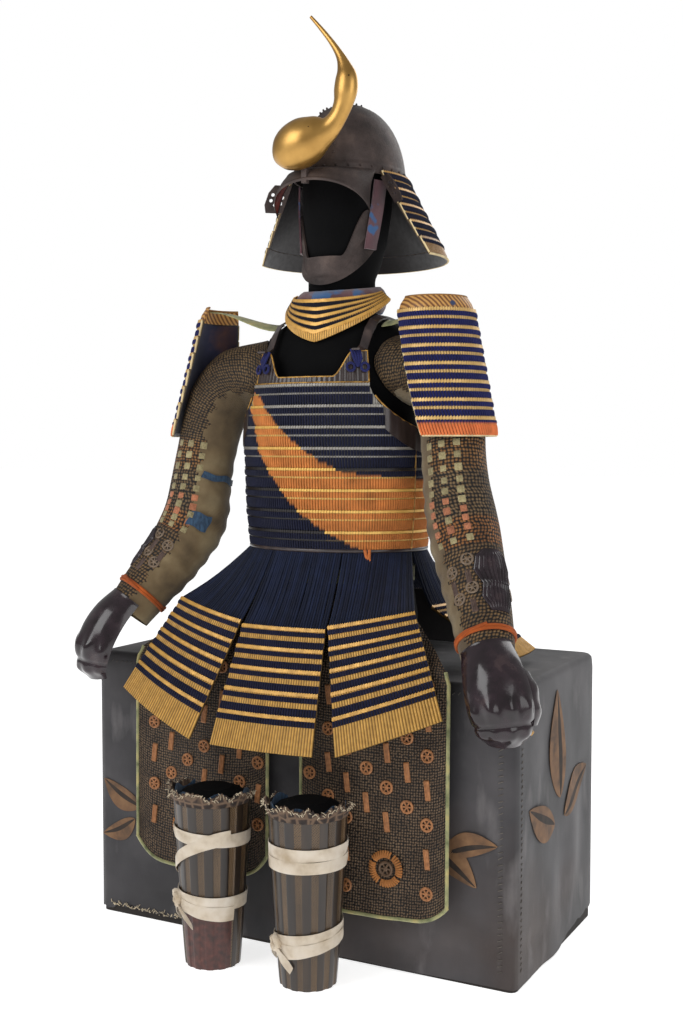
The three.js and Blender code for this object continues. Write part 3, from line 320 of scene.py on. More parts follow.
def crease_depth(side, along, up):
    depth = 0
    for which, start, end, width, deep in CREASES:
        if which == side:
            line = Vector(end) - Vector(start)
            share = min(max((Vector((along, up)) - Vector(start)).dot(line) / line.length_squared, 0), 1)
            off = (Vector(start) + line * share - Vector((along, up))).length
            fade = math.sin(math.pi * min(max(share, 0.08), 0.92))
            depth += deep * fade * (math.exp(-(off / width) ** 2)
                                    - 0.7 * math.exp(-((off - 1.6 * width) / width) ** 2))
    return depth


def canvas_point(side, share, z, inward=0):
    """A point of the cover's side wall, a share of the way along that side."""
    slack, inset = between(COVER_ROWS, z)
    less = 2 * (inset + inward)
    start, way, out, run = sides_of(TRUNK_LENGTH - less, TRUNK_WIDTH - less,
                                    TRUNK_CORNER - min(inward, 8))[side]
    swell = slack * (1 + math.sin(5.1 * share * (side + 2) + 0.9 * side
                                  + z / 70)) * math.sin(math.pi * share)
    swell -= min(crease_depth(side, share * run, z), 2.2) if not inward and inset == 0 else 0
    along = run * share
    return Vector((start[0] + way[0] * along + out[0] * swell, start[1] + way[1] * along + out[1] * swell,
                   z))


SIDE_STEPS = (56, 28, 56, 28)
CORNER_STEPS = 5
torn = random.Random(7)
HEM_TEARS = [torn.uniform(0, 1) for i in range(sum(SIDE_STEPS) + 4 * CORNER_STEPS)]


def hem_height(side, share, tear):
    """The cover's torn foot: ragged at the front's right-hand end and lifted at the end of the side."""
    if side == 0:
        return 5 + (6 + 16 * tear) * (1 - ease(share, 0.18, 0.42)) * ease(share, 0.0, 0.05)
    if side == 1:
        return 4 + 14 * ease(share, 0.5, 0.8) + 6 * tear * ease(share, 0.4, 0.7)
    return 5 + 4 * tear


def canvas_ring(z, inward=0, foot=False):
    slack, inset = between(COVER_ROWS, z)
    less = 2 * (inset + inward)
    corner = TRUNK_CORNER - min(inward, 8)
    ring = []
    for s, (start, way, out, run) in enumerate(sides_of(TRUNK_LENGTH - less, TRUNK_WIDTH - less, corner)):
        for i in range(SIDE_STEPS[s]):
            ring.append(canvas_point(s, i / SIDE_STEPS[s], z, inward))
        middle = [start[k] + way[k] * run - out[k] * corner for k in (0, 1)]
        turn = math.atan2(out[1], out[0])
        for i in range(CORNER_STEPS):
            angle = turn + i / CORNER_STEPS * math.pi / 2
            seam = 1.6 if i == CORNER_STEPS // 2 and not inward else 0
            reach = corner + seam
            ring.append(Vector((middle[0] + reach * math.cos(angle), middle[1] + reach * math.sin(angle),
                                z)))
    if foot:
        k = 0
        for s in range(4):
            for i in range(SIDE_STEPS[s] + CORNER_STEPS):
                ring[k].z = hem_height(s, min(i / SIDE_STEPS[s], 1), HEM_TEARS[k])
                k += 1
    return ring


COVER_LEVELS = (7, 26, 44, 60, 78, 100, 125, 150, 180, 210, 240, 270, 300, 330, 360, 390, 420, 446, 464,
                476, 482, 487, 490)
TOP_INSETS = (9, 16, 40, 80, 125, 165, 192)


def cover_rows(inward):
    rows = [canvas_ring(z, inward, foot=z == COVER_LEVELS[0]) for z in COVER_LEVELS[:-1]]
    for inset in TOP_INSETS:
        ring = canvas_ring(COVER_LEVELS[-1], inward + inset - 9)
        ripple = [0.8 * math.sin(p.x / 47 + 1) * math.cos(p.y / 31) for p in ring]
        for p, wave in zip(ring, ripple):
            p.z = TRUNK_TOP - 0.9 - (0 if inset < 16 else 0.6 + 0.6 * wave) - inward * 0.9
        rows.append(ring)
    return rows


canvas = finish("oiled_canvas", 0.72, Sheen_Weight=0.15)
cloud = grain(canvas, 5, 5)
scuff = grain(canvas, 22, 6, (1, 1, 0.35))
fibre = grain(canvas, 900, 2)
tones = shades(canvas, cloud, (0.28, hue(29, 27, 29)), (0.5, hue(47, 45, 48)), (0.72, hue(74, 71, 73)))
stained = blend(canvas, shades(canvas, grain(canvas, 3.1, 4), (0.5, (0, 0, 0, 1)),
                               (0.75, (0.6, 0.6, 0.6, 1))),
                tones, hue(66, 48, 36))
rubbed = blend(canvas, shades(canvas, scuff, (0.55, (0, 0, 0, 1)), (0.8, (0.55, 0.55, 0.55, 1))),
               stained, hue(128, 124, 124))
weave = sums(canvas, "ADD", sums(canvas, "MULTIPLY", fibre, 0.35), scuff)
wear(canvas, rubbed, weave, 0.0012, 0.55,
     shades(canvas, scuff, (0.2, (0.6,) * 3 + (1,)), (0.9, (0.85,) * 3 + (1,))))

outer, inner = cover_rows(0), cover_rows(CANVAS_THICKNESS)
points, faces = shell(outer, inner, ring=True)
columns = len(outer[0])
edge = (len(outer) - 1) * columns
half = len(outer) * columns
faces = [f for f in faces if not all(i % half >= edge for i in f)]
faces.append([edge + c for c in range(columns)])
faces.append([half + edge + c for c in reversed(range(columns))])
cover = piece("trunk_canvas", points, faces, canvas, "canvas", "trunk_cover", sharp=70)

carcass_wood = finish("carcass_wood", 0.8)
wood = grain(carcass_wood, 30, 4, (0.2, 1, 1))
wear(carcass_wood, shades(carcass_wood, wood, (0.3, hue(22, 18, 16)), (0.7, hue(38, 30, 25))), wood, 0.0006)
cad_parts["trunk_carcass"].data.materials.clear()
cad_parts["trunk_carcass"].data.materials.append(carcass_wood)

# Display form: a limbless torso and a smooth faceless head, padded and covered in black cloth,
# which stand on the trunk inside the armour and carry its weight.
TORSO_ROWS = (
    (490.3, 146, 108, -20), (560, 148, 110, -20), (628, 140, 105, -25), (654, 140, 105, -25),
    (760, 148, 107, -28),
    (900, 156, 110, -30), (985, 156, 104, -29), (1032, 152, 94, -26), (1064, 138, 82, -21),
    (1083, 114, 73, -18),
    (1095, 86, 66, -16), (1102, 60, 62, -14), (1140, 60, 62, -14),
)
HEAD_ROWS = (
    (1140.3, 60, 62, -14), (1166, 60, 62, -14), (1190, 64, 74, -6), (1235, 71, 88, 2), (1290, 76, 95, 8),
    (1345, 78, 98, 12), (1396, 73, 91, 15), (1434, 57, 72, 17), (1461, 35, 44, 19), (1476, 9, 12, 19),
)
FORM_COLUMNS = 64
FORM_LEVELS = 60


def oval(a, b, y, degrees, z):
    """A point on an upright ellipse, its angle counted from the front towards the wearer's left."""
    turn = math.radians(degrees)
    return Vector((a * math.sin(turn), y - b * math.cos(turn), z))


def form_point(rows, z, degrees, out=0):
    a, b, y = between(rows, z)
    return oval(a + out, b + out, y, degrees, z)


def form_mesh(rows, folds):
    levels = [form_ring(rows, z, folds) for z in spread(rows[0][0], rows[-1][0], FORM_LEVELS)]
    points = [p for ring in levels for p in ring]
    faces = skin(levels, ring=True)
    last = (FORM_LEVELS - 1) * FORM_COLUMNS
    faces.append(list(range(FORM_COLUMNS)))
    faces.append([last + c for c in range(FORM_COLUMNS)])
    return points, faces


def form_ring(rows, z, folds):
    ring = []
    for c in range(FORM_COLUMNS):
        angle = 360 * c / FORM_COLUMNS
        drape = folds * (math.sin(math.radians(5 * angle) + z / 40) - 1) * ease(z, 860,
                1000) * (1 - ease(z, 1060, 1090))
        ring.append(form_point(rows, z, angle, drape))
    return ring


form_cloth = finish("form_cloth", 0.85, Specular_IOR_Level=0.1)
nap = grain(form_cloth, 1100, 2)
drift = grain(form_cloth, 9, 4)
wear(form_cloth, shades(form_cloth, drift, (0.3, hue(5, 5, 6)), (0.75, hue(13, 13, 14))), nap, 0.0004, 0.4)
piece("form_torso_cloth", *form_mesh(TORSO_ROWS, 1.6), form_cloth, "form_cloth", "form_torso", sharp=80)
piece("form_head_cloth", *form_mesh(HEAD_ROWS, 0), form_cloth, "form_cloth", "form_head", sharp=80)

# Cuirass: two halves of lacquered hide lames, each laced close with braided silk, hinged under the
# wearer's left arm and tied at the right. A sweep of orange silk crosses the navy.
PLATE = 2.5
LEDGE = 3
FOOT_STAND = 0.4
CUIRASS_TOP = 973
CUIRASS_FOOT = 685
CUIRASS_Y = -30
CUIRASS_ROWS = ((684.7, 163, 119), (760, 170, 126), (880, 174, 129), (973, 168, 125), (1030, 156, 114))
CUIRASS_LAMES = 8
HINGE = 74
TIED_SIDE = -88
ARMHOLE_Z = 985
ARMHOLE_REACH = 100
ARMHOLE_DROP = 97
SWEEP_TOP = (
    (-46.5, 962), (-42, 962), (-35.5, 955), (-25, 926), (-14, 895), (-7.5, 879), (4, 855), (11.5, 840),
    (25, 823),
    (42, 816), (62.5, 813), (80, 811), (120, 790), (165, 700),
)
SWEEP_FOOT = (
    (-46.5, 934), (-39.5, 908), (-33.5, 857), (-23.5, 820), (-11, 777), (-2.5, 755), (10.5, 726),
    (24.5, 705),
    (36, 690), (44, 684), (165, 684),
)
NAVY_SILK = hue(20, 23, 46)
ORANGE_SILK = hue(200, 124, 64)
PALE_GILT = hue(236, 190, 98)
SILVERED = hue(152, 148, 142)
DARK_LACQUER = hue(26, 21, 22)
CUIRASS_BANDS = ((0.13, 0.40, 3), (0.50, 1.0,
                                   4))  # share of a lame that each row of lacing covers, and its points


def node_tree(name, *inputs):
    """An empty tree of nodes that makes a mesh, with its named inputs' identifiers."""
    tree = bpy.data.node_groups.new(name, "GeometryNodeTree")
    tree.interface.new_socket("Geometry", in_out="OUTPUT", socket_type="NodeSocketGeometry")
    sockets = {}
    for label, kind in (("Geometry", "NodeSocketGeometry"),) + inputs:
        sockets[label] = tree.interface.new_socket(label, in_out="INPUT", socket_type=kind).identifier
    return tree, sockets


def grow(tree, kind, settings=None, **sockets):
    """A node of such a tree, its sockets linked to other nodes' outputs or set."""
    made = tree.nodes.new(kind)
    for setting, value in (settings or {}).items():
        setattr(made, setting, value)
    for socket, value in sockets.items():
        target = made.inputs[socket.replace("_", " ")]
        if isinstance(value, bpy.types.NodeSocket):
            tree.links.new(value, target)
        else:
            target.default_value = value
    return made


cord_tree, CORD_SOCKETS = node_tree("laid_cords", ("Radius", "NodeSocketFloat"), ("Sides", "NodeSocketInt"),
                                    ("Material", "NodeSocketMaterial"))
start = cord_tree.nodes.new("NodeGroupInput")
runs = grow(cord_tree, "GeometryNodeMeshToCurve", Mesh=start.outputs["Geometry"])
section = grow(cord_tree, "GeometryNodeCurvePrimitiveCircle", Resolution=start.outputs["Sides"],
               Radius=start.outputs["Radius"])
swept = grow(cord_tree, "GeometryNodeCurveToMesh", Curve=runs.outputs[0], Profile_Curve=section.outputs[0],
             Fill_Caps=True)
rounded = grow(cord_tree, "GeometryNodeSetShadeSmooth", Geometry=swept.outputs[0])
real = grow(cord_tree, "GeometryNodeRealizeInstances", Geometry=rounded.outputs[0])
dyed = grow(cord_tree, "GeometryNodeSetMaterial", Geometry=real.outputs[0],
            Material=start.outputs["Material"])
grow(cord_tree, "NodeGroupOutput", Geometry=dyed.outputs[0])

set_tree, SET_SOCKETS = node_tree("set_pieces", ("Shape", "NodeSocketObject"),
                                  ("Material", "NodeSocketMaterial"))
start = set_tree.nodes.new("NodeGroupInput")
shape = grow(set_tree, "GeometryNodeObjectInfo", Object=start.outputs["Shape"])
marks = {}
for mark in ("up", "side", "size"):
    marks[mark] = grow(set_tree, "GeometryNodeInputNamedAttribute", {"data_type": "FLOAT_VECTOR"},
                       Name=mark).outputs[0]
turn = grow(set_tree, "FunctionNodeAxesToRotation", {"primary_axis": "Z", "secondary_axis": "X"},
            Primary_Axis=marks["up"], Secondary_Axis=marks["side"])
copies = grow(set_tree, "GeometryNodeInstanceOnPoints", Points=start.outputs["Geometry"],
              Instance=shape.outputs["Geometry"], Rotation=turn.outputs[0], Scale=marks["size"])
real = grow(set_tree, "GeometryNodeRealizeInstances", Geometry=copies.outputs[0])
dyed = grow(set_tree, "GeometryNodeSetMaterial", Geometry=real.outputs[0],
            Material=start.outputs["Material"])
grow(set_tree, "NodeGroupOutput", Geometry=dyed.outputs[0])


def grown(name, mesh, tree, **inputs):
    """A piece made by a tree of nodes from a mesh of points and lines, as a plain mesh of its own."""
    made = bpy.data.objects.new(name, mesh)
    bpy.context.collection.objects.link(made)
    modifier = made.modifiers.new("make", "NODES")
    modifier.node_group = tree
    sockets = CORD_SOCKETS if tree is cord_tree else SET_SOCKETS
    for label, value in inputs.items():
        modifier[sockets[label]] = value
    result = bpy.data.meshes.new_from_object(made.evaluated_get(bpy.context.evaluated_depsgraph_get()))
    made.modifiers.clear()
    made.data = result
    bpy.data.meshes.remove(mesh)
    result.name = name
    return made


def mark(mesh, name, kind, values):
    """Stores one value for each point of a mesh."""
    layer = mesh.attributes.new(name, kind, "POINT")
    layer.data.foreach_set("color" if kind == "FLOAT_COLOR" else "vector", [x for v in values for x in v])


def cords(name, runs, radius, material, slot, sides=6):
    """Cords laid along runs of points in millimetres, each with its dye or a list of dyes along it."""
    points, edges, dyes, lengths = [], [], [], []
    for run, dye in runs:
        first, along = len(points), 0
        for i, p in enumerate(run):
            along += (Vector(p) - Vector(run[i - 1])).length * MM if i else 0
            points.append([c * MM for c in p])
            dyes.append(dye[i] if isinstance(dye, list) else dye)
            lengths.append((along, first * 0.37, 0))
        edges += [(first + i, first + i + 1) for i in range(len(run) - 1)]
    mesh = bpy.data.meshes.new(name)
    mesh.from_pydata(points, edges, [])
    mark(mesh, "dye", "FLOAT_COLOR", dyes)
    mark(mesh, "run", "FLOAT_VECTOR", lengths)
    return fix(grown(name, mesh, cord_tree, Radius=radius * MM, Sides=sides, Material=material), slot)


def set_out(name, shape, places, material, slot):
    """Copies of a small shape, each with its place, up and side directions, size and dye."""
    pattern = bpy.data.objects.new(name + "_pattern", plain_mesh(name + "_pattern", *shape))
    mesh = bpy.data.meshes.new(name)
    mesh.from_pydata([[c * MM for c in place[0]] for place in places], [], [])
    for k, label in ((1, "up"), (2, "side"), (3, "size")):
        mark(mesh, label, "FLOAT_VECTOR", [place[k] for place in places])
    mark(mesh, "dye", "FLOAT_COLOR", [place[4] for place in places])
    made = grown(name, mesh, set_tree, Shape=pattern, Material=material)
    bpy.data.objects.remove(pattern)
    return fix(made, slot)


def stand(surface, u, t, out):
    """A point of a surface moved out along its normal, with its up and side directions."""
    step = 0.002
    here = surface(u, t)
    across = (surface(u + step, t) - surface(u - step, t)).normalized()
    down = (surface(u, t + step) - surface(u, t - step)).normalized()
    return here + down.cross(across).normalized() * out, -down, across


# A scale's head, one unit wide and high: a small plate with a slanting top
HEAD_SHAPE = (
    [(-0.5, -0.5, -1), (0.5, -0.5, -1), (0.5, -0.5, 0.34), (-0.5, -0.5, 0),
     (-0.5, 0.5, -1), (0.5, 0.5, -1), (0.5, 0.5, 0.34), (-0.5, 0.5, 0)],
    [(0, 1, 2, 3), (5, 4, 7, 6), (4, 0, 3, 7), (1, 5, 6, 2), (3, 2, 6, 7), (4, 5, 1, 0)],
)


def laced(name, surface, lames, width, bands, silk_dye, gilt_dye, slot, nodes, scale=4.6, head=5.5, rib=0.9,
          keep=lambda p: True, clip=lambda p: p, ledge=LEDGE, plate=PLATE):
    """Lames laced together: the lames with their ribs, their scales' heads and their rows of cords."""
    count = round(width / scale)
    columns = [(i + k / 4) / count for i in range(count) for k in range(4)] + [1]
    outer, inner, dyes = [], [], []
    for top, foot in lames:
        for share in (0, 0.5, 1):
            t = lerp(top, foot, share)
            relief = plate + lerp(ledge, FOOT_STAND, share)
            waves = [rib * math.sin(math.pi * ((u * count) % 1)) for u in columns]
            outer.append([clip(stand(surface, u, t, relief + wave)[0]) for u, wave in zip(columns, waves)])
            inner.append([clip(surface(u, t)) for u in columns])
            # Painted shade: each lame's colour is darkened towards the grooves between its ribs.
            dyes += [painted_groove_shade(gilt_dye(u, t), wave / rib) for u, wave in zip(columns, waves)]
    points, faces = shell(outer, inner)
    mesh = plain_mesh(name, points, faces, 50, dyes + [DARK_LACQUER] * len(dyes))
    base = bpy.data.objects.new(name, mesh)
    mesh.materials.append(lame_lacquer)
    bpy.context.collection.objects.link(base)
    fix(base, slot, *nodes)
    heads, runs = [], []
    tilt = random.Random(len(name) + count)
    for top, foot in lames:
        for i in range(count):
            u = (i + 0.5) / count
            place, up, side = stand(surface, u, top, plate + ledge + 0.5)
            if keep(place):
                size = (scale * 0.94 * width_at(surface, top, width), 1.5, head * tilt.uniform(0.94, 1.05))
                heads.append((place, up, side, size, gilt_dye(u, top)))
            for low, high, steps in bands:
                run, tints = [], []
                for k, share in enumerate(spread(low, high, steps)):
                    end = k in (0, steps - 1)
                    out = plate + lerp(ledge, FOOT_STAND, share) + (0.2 if end else 1.0)
                    run.append(stand(surface, u, lerp(top, foot, share), out)[0])
                    tints.append(silk_dye(u, lerp(top, foot, share)))
                if all(keep(p) for p in run):
                    runs.append((run, tints))
    set_out(name + "_heads", HEAD_SHAPE, heads, scale_lacquer, slot)
    if runs:
        cords(name + "_lacing", runs, scale * 0.5, laced_silk, "navy_lacing")
    return base


def painted_groove_shade(dye, rise):
    """A lame's colour with painted shade: darker in the grooves between its ribs, where shadow would fall.
    """
    return tuple(c * lerp(0.3, 1, rise) for c in dye[:3]) + (1,)


def width_at(surface, t, width):
    """How wide a lame is at its top, against the mean width that its scales are counted from."""
    return sum((surface((i + 1) / 8, t) - surface(i / 8, t)).length for i in range(8)) / width


laced_silk = finish("laced_silk", 0.85, Sheen_Weight=0.06, Specular_IOR_Level=0.25)
dye = node(laced_silk, "Attribute", {"attribute_name": "dye"}).outputs["Color"]
fade = shades(laced_silk, grain(laced_silk, 38, 4), (0.25, (0.62, 0.62, 0.62, 1)),
              (0.8, (1.25, 1.25, 1.22, 1)))
braid = node(laced_silk, "TexWave", {"wave_type": "BANDS", "bands_direction": "DIAGONAL"}, Scale=320.0,
             Distortion=0.6,
             Vector=node(laced_silk, "Attribute", {"attribute_name": "run"}).outputs["Vector"]).outputs[0]
wear(laced_silk, blend(laced_silk, 1.0, dye, fade, "MULTIPLY"), braid, 0.0005, 0.5)

lame_lacquer = finish("lame_lacquer", 0.42, Metallic=0.35, Coat_Weight=0.25, Coat_Roughness=0.3)
dye = node(lame_lacquer, "Attribute", {"attribute_name": "dye"}).outputs["Color"]
rubbing = grain(lame_lacquer, 130, 5)
worn = shades(lame_lacquer, rubbing, (0.3, (0.82, 0.79, 0.75, 1)), (0.6, (1, 1, 1, 1)))
wear(lame_lacquer, blend(lame_lacquer, 1.0, dye, worn, "MULTIPLY"), rubbing, 0.0003, 0.4,
     shades(lame_lacquer, rubbing, (0.3, (0.6,) * 3 + (1,)), (0.75, (0.36,) * 3 + (1,))))
scale_lacquer = lame_lacquer.copy()
scale_lacquer.name = "scale_lacquer"


def cuirass_point(z, degrees, out=0):
    a, b = between(CUIRASS_ROWS, z)
    return oval(a + out, b + out, CUIRASS_Y, degrees, z)


def armhole_edge(y):
    share = (y - CUIRASS_Y) / ARMHOLE_REACH
    return ARMHOLE_Z - ARMHOLE_DROP * math.sqrt(1 - share * share) if abs(share) < 1 else ARMHOLE_Z


def below_armhole(p):
    return Vector((p.x, p.y, min(p.z, armhole_edge(p.y)))) if p.z > armhole_edge(p.y) else p


def in_sweep(degrees, z):
    if not SWEEP_TOP[0][0] < degrees < SWEEP_TOP[-1][0]:
        return False
    return between(SWEEP_FOOT, degrees)[0] < z < between(SWEEP_TOP, degrees)[0]


def cuirass_half(name, start, end, nodes):
    def surface(u, t):
        return cuirass_point(lerp(CUIRASS_TOP, CUIRASS_FOOT, t), lerp(start, end, u))

    def silk(u, t):
        swept = in_sweep(lerp(start, end, u), lerp(CUIRASS_TOP, CUIRASS_FOOT, t))
        return ORANGE_SILK if swept else NAVY_SILK

    def gilt(u, t):
        swept = in_sweep(lerp(start, end, u), lerp(CUIRASS_TOP, CUIRASS_FOOT, t))
        return PALE_GILT if swept else SILVERED if t < 0.45 else DARK_LACQUER

    pitch = 1 / CUIRASS_LAMES
    lames = [(k * pitch, (k + 1) * pitch - 0.004) for k in range(CUIRASS_LAMES)]
    width = sum((surface((i + 1) / 40, 0.5) - surface(i / 40, 0.5)).length for i in range(40))
    return laced(name, surface, lames, width, CUIRASS_BANDS, silk, gilt, "navy_lacing", nodes, head=3.6,
                 rib=0.5,
                 keep=lambda p: p.z < armhole_edge(p.y) - 1, clip=below_armhole)


cuirass_half("cuirass_front_lames", TIED_SIDE, HINGE, ["cuirass_front"])
cuirass_half("cuirass_back_lames", HINGE + 0.12, 360 + TIED_SIDE - 0.12, ["cuirass_back"])

# Chest and back plates: lacquered hide splints side by side over the chest and the shoulder blades,
# with a gilt rim rolled round the neck and a horn at each end for the shoulder strap.
HORN_START = 18
HORN_FLAT = 32
HORN_END = 41
HORN_TOP = 1030
SPLINTS = 26
PLATE_ROWS = 8
RIM_STAND = 2.2

brown_lacquer = finish("brown_lacquer", 0.32, Coat_Weight=0.4, Coat_Roughness=0.2)
streak = grain(brown_lacquer, 60, 5, (1, 1, 0.15))
scratch = grain(brown_lacquer, 420, 3, (1, 1, 0.3))
wear(brown_lacquer, shades(brown_lacquer, streak, (0.3, hue(34, 25, 25)), (0.55, hue(52, 40, 38)),
                           (0.8, hue(82, 66, 60))),
     scratch, 0.0003, 0.35, shades(brown_lacquer, streak, (0.3, (0.28,) * 3 + (1,)),
                                   (0.8, (0.5,) * 3 + (1,))))

gilt_rim = finish("gilt_rim", 0.36, Metallic=0.6)
rubbed = grain(gilt_rim, 90, 5)
wear(gilt_rim, shades(gilt_rim, rubbed, (0.3, hue(120, 84, 38)), (0.6, hue(190, 146, 74))), rubbed,
     0.0003, 0.4)


def collar_plate(name, middle, scoop, node_name):
    def top_at(angle):
        return lerp(scoop, HORN_TOP, ease(abs(angle), HORN_START, HORN_FLAT))

    angles = spread(-HORN_END, HORN_END, SPLINTS * 4 + 1)
    outer, inner = [], []
    for t in spread(1, 0, PLATE_ROWS):
        ribs = [1.3 * abs(math.sin(math.pi * i / 4)) for i in range(len(angles))]
        levels = [lerp(CUIRASS_TOP + 0.3, top_at(angle), t) for angle in angles]
        outer.append([cuirass_point(z, middle + angle, PLATE + rib)
                      for z, angle, rib in zip(levels, angles, ribs)])
        inner.append([cuirass_point(z, middle + angle) for z, angle in zip(levels, angles)])
    piece(name, *shell(outer, inner), brown_lacquer, "brown_lacquer", node_name, sharp=60)
    neck = [cuirass_point(top_at(angle), middle + angle, PLATE) for angle in angles]
    start = cuirass_point(CUIRASS_TOP + 4, middle - HORN_END, PLATE)
    end = cuirass_point(CUIRASS_TOP + 4, middle + HORN_END, PLATE)
    foot = [cuirass_point(CUIRASS_TOP + 3, middle + angle, PLATE + 2.4) for angle in angles]
    return [([start] + neck + [end], hue(190, 146, 74)), (foot, hue(190, 146, 74))]


rims = collar_plate("chest_splints", 0, 986, "chest_plate")
rims += collar_plate("back_splints", 180, 1010, "back_plate")

# Underarm plates: a strip of plain dark lacquer along each armhole, outside the lames, and the
# gilt piping that edges both armholes, the hinge and the cuirass's tied side.
UNDERARM_START = 50
UNDERARM_END = 112
UNDERARM_HEIGHT = 40
UNDERARM_OUT = PLATE + LEDGE + 0.6


def underarm(side):
    rows = []
    for out in (2, 0):
        grid = []
        for t in spread(0, 1, 6):
            row = []
            for i, angle in enumerate(spread(UNDERARM_START, UNDERARM_END, 41)):
                top = armhole_edge(cuirass_point(880, angle).y) + 5
                rib = 0.8 * abs(math.sin(math.pi * i / 4)) if out else 0
                p = cuirass_point(top - t * UNDERARM_HEIGHT, angle, UNDERARM_OUT + out + rib)
                row.append(Vector((side * p.x, p.y, p.z)))
            grid.append(row)
        rows.append(grid)
    return shell(*rows)


for side, name in ((1, "left"), (-1, "right")):
    piece("underarm_" + name, *underarm(side), brown_lacquer, "brown_lacquer", "underarm_plate_" + name,
          sharp=60)
    brim = []
    for angle in spread(UNDERARM_START - 6, UNDERARM_END + 6, 60):
        p = cuirass_point(armhole_edge(cuirass_point(880, angle).y) + 5, angle, UNDERARM_OUT + 1)
        brim.append((side * p.x, p.y, p.z))
    rims.append((brim, hue(170, 128, 62)))
for angle in (HINGE, TIED_SIDE):
    edge = [cuirass_point(z, angle, PLATE + LEDGE) for z in spread(CUIRASS_FOOT, 893, 12)]
    rims.append((edge, hue(120, 88, 50)))
cords("cuirass_rims", rims, RIM_STAND * 0.75, gilt_rim, "gold_lacquer")
for name in ("shoulder_strap_left", "shoulder_strap_right"):
    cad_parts[name].data.materials.clear()
    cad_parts[name].data.materials.append(brown_lacquer)

# Strap ties: doubled navy cords that hold each shoulder strap to its horn through a toggle, and the
# orange toggle cord at the cuirass's foot. The bows and the toggle's ends stand free for a few centimetres.
TIE_COLUMNS = (-34, 34)
TIE_HALVES = ((0, 1012), (180, 1018))  # front and back: middle angle, height of the horns
TIE_LEANS = (-2.6, -0.9, 0.9, 2.6)
TIE_TOP = 1032
TIE_DROP = 10  # from a horn down to its knot
TIE_RADIUS = 2.4
TIE_NAVY = hue(34, 38, 92)
BOW_HEIGHT = 7
# Each point of a toggle cord: height, angle round the cuirass, distance off its surface.
TOGGLE_CORDS = (
    ((690, 38, 8), (676, 39, 10), (664, 41, 14)),
    ((690, 41, 8), (675, 40.5, 11), (662, 42, 16)),
)
TOGGLE_RADIUS = 3
TOGGLE_ORANGE = hue(196, 112, 60)
ties = []
for middle, height in TIE_HALVES:
    for column in TIE_COLUMNS:
        knot = cuirass_point(height - TIE_DROP, middle + column, PLATE + 4)
        for lean in TIE_LEANS:
            top = cuirass_point(TIE_TOP, middle + column * 0.96 + lean, PLATE + 3)
            bend = cuirass_point(height + 4, middle + column + lean * 0.9, PLATE + 6)
            ties.append(([knot, bend, top], TIE_NAVY))
        for turn in (-1, 1):
            bow = []
            for a in spread(0, 2 * math.pi, 12):
                swing = middle + column + turn * (2 + 2.4 * (1 - math.cos(a)))
                bow.append(cuirass_point(height - TIE_DROP + BOW_HEIGHT * math.sin(a), swing, PLATE + 5))
            ties.append((bow, TIE_NAVY))
cords("strap_ties", ties, TIE_RADIUS, laced_silk, "navy_lacing", sides=8)
toggles = [([cuirass_point(*spot) for spot in cord], TOGGLE_ORANGE) for cord in TOGGLE_CORDS]
cords("foot_toggle", toggles, TOGGLE_RADIUS, laced_silk, "orange_silk", sides=8)
leather_foot = [([cuirass_point(CUIRASS_FOOT + 2, angle, PLATE + 1.2)
                  for angle in spread(-180, 180, 121)], hue(66, 42, 28))]
cords("cuirass_foot_strip", leather_foot, 4, brown_lacquer, "brown_lacquer", sides=8)

# Tassets: seven skirts of five gilt lames, laced in navy silk and hung from the cuirass's foot by
# close rows of navy cords, so that they spread over the lap and the trunk's top.
# Each row of the list: name, side, angles at the cuirass's foot, first lame's top corners,
# last lame's foot corners, crown.
TASSETS = (
    ("front_middle", 0, -24, 24, (-80, -222, 560), (80, -222, 560), (-98, -302, 366), (98, -302, 366), 7),
    ("front", 1, 24.7, 76, (85, -221, 566), (228, -190, 595), (140, -301, 370), (308, -260, 438), 8),
    ("side", 1, 76.7, 127, (205, -78, 588), (212, 62, 588), (340, -66, 506), (340, 72, 506), 7),
    ("back", 1, 127.7, 179.8, (160, 178, 592), (3, 186, 588), (190, 246, 404), (5, 254, 396), 6),
)
TASSET_FEET = (0.17, 0.34, 0.52, 0.71, 1)
TASSET_BANDS = ((0.19, 0.40, 3), (0.66, 1.0, 4))
LAST_BANDS = ((0.10, 0.25, 3),)
TASSET_GOLD = hue(214, 164, 78)
TASSET_SILK = hue(19, 21, 48)
CORD_SILK = hue(20, 29, 54)


def tasset_surfaces(start, end, first, second, third, fourth, crown, side):
    a, b, c, d = (Vector(v) for v in (first, second, third, fourth))
    out = (b - a).cross(Vector((0, 0, 1))).normalized()

    def flip(p):
        return Vector((-p.x, p.y, p.z)) if side < 0 else p

    def plates(u, t):
        u = 1 - u if side < 0 else u
        return flip(a.lerp(b, u).lerp(c.lerp(d, u), t) + out * (4 * u * (1 - u) * crown))

    def hung(u, t):
        u = 1 - u if side < 0 else u
        top = cuirass_point(CUIRASS_FOOT - 0.3, lerp(start, end, u))
        low = a.lerp(b, u) + out * (4 * u * (1 - u) * crown)
        return flip(top.lerp(low, t) + Vector((0, 0, -8 * math.sin(math.pi * t))))

    return plates, hung


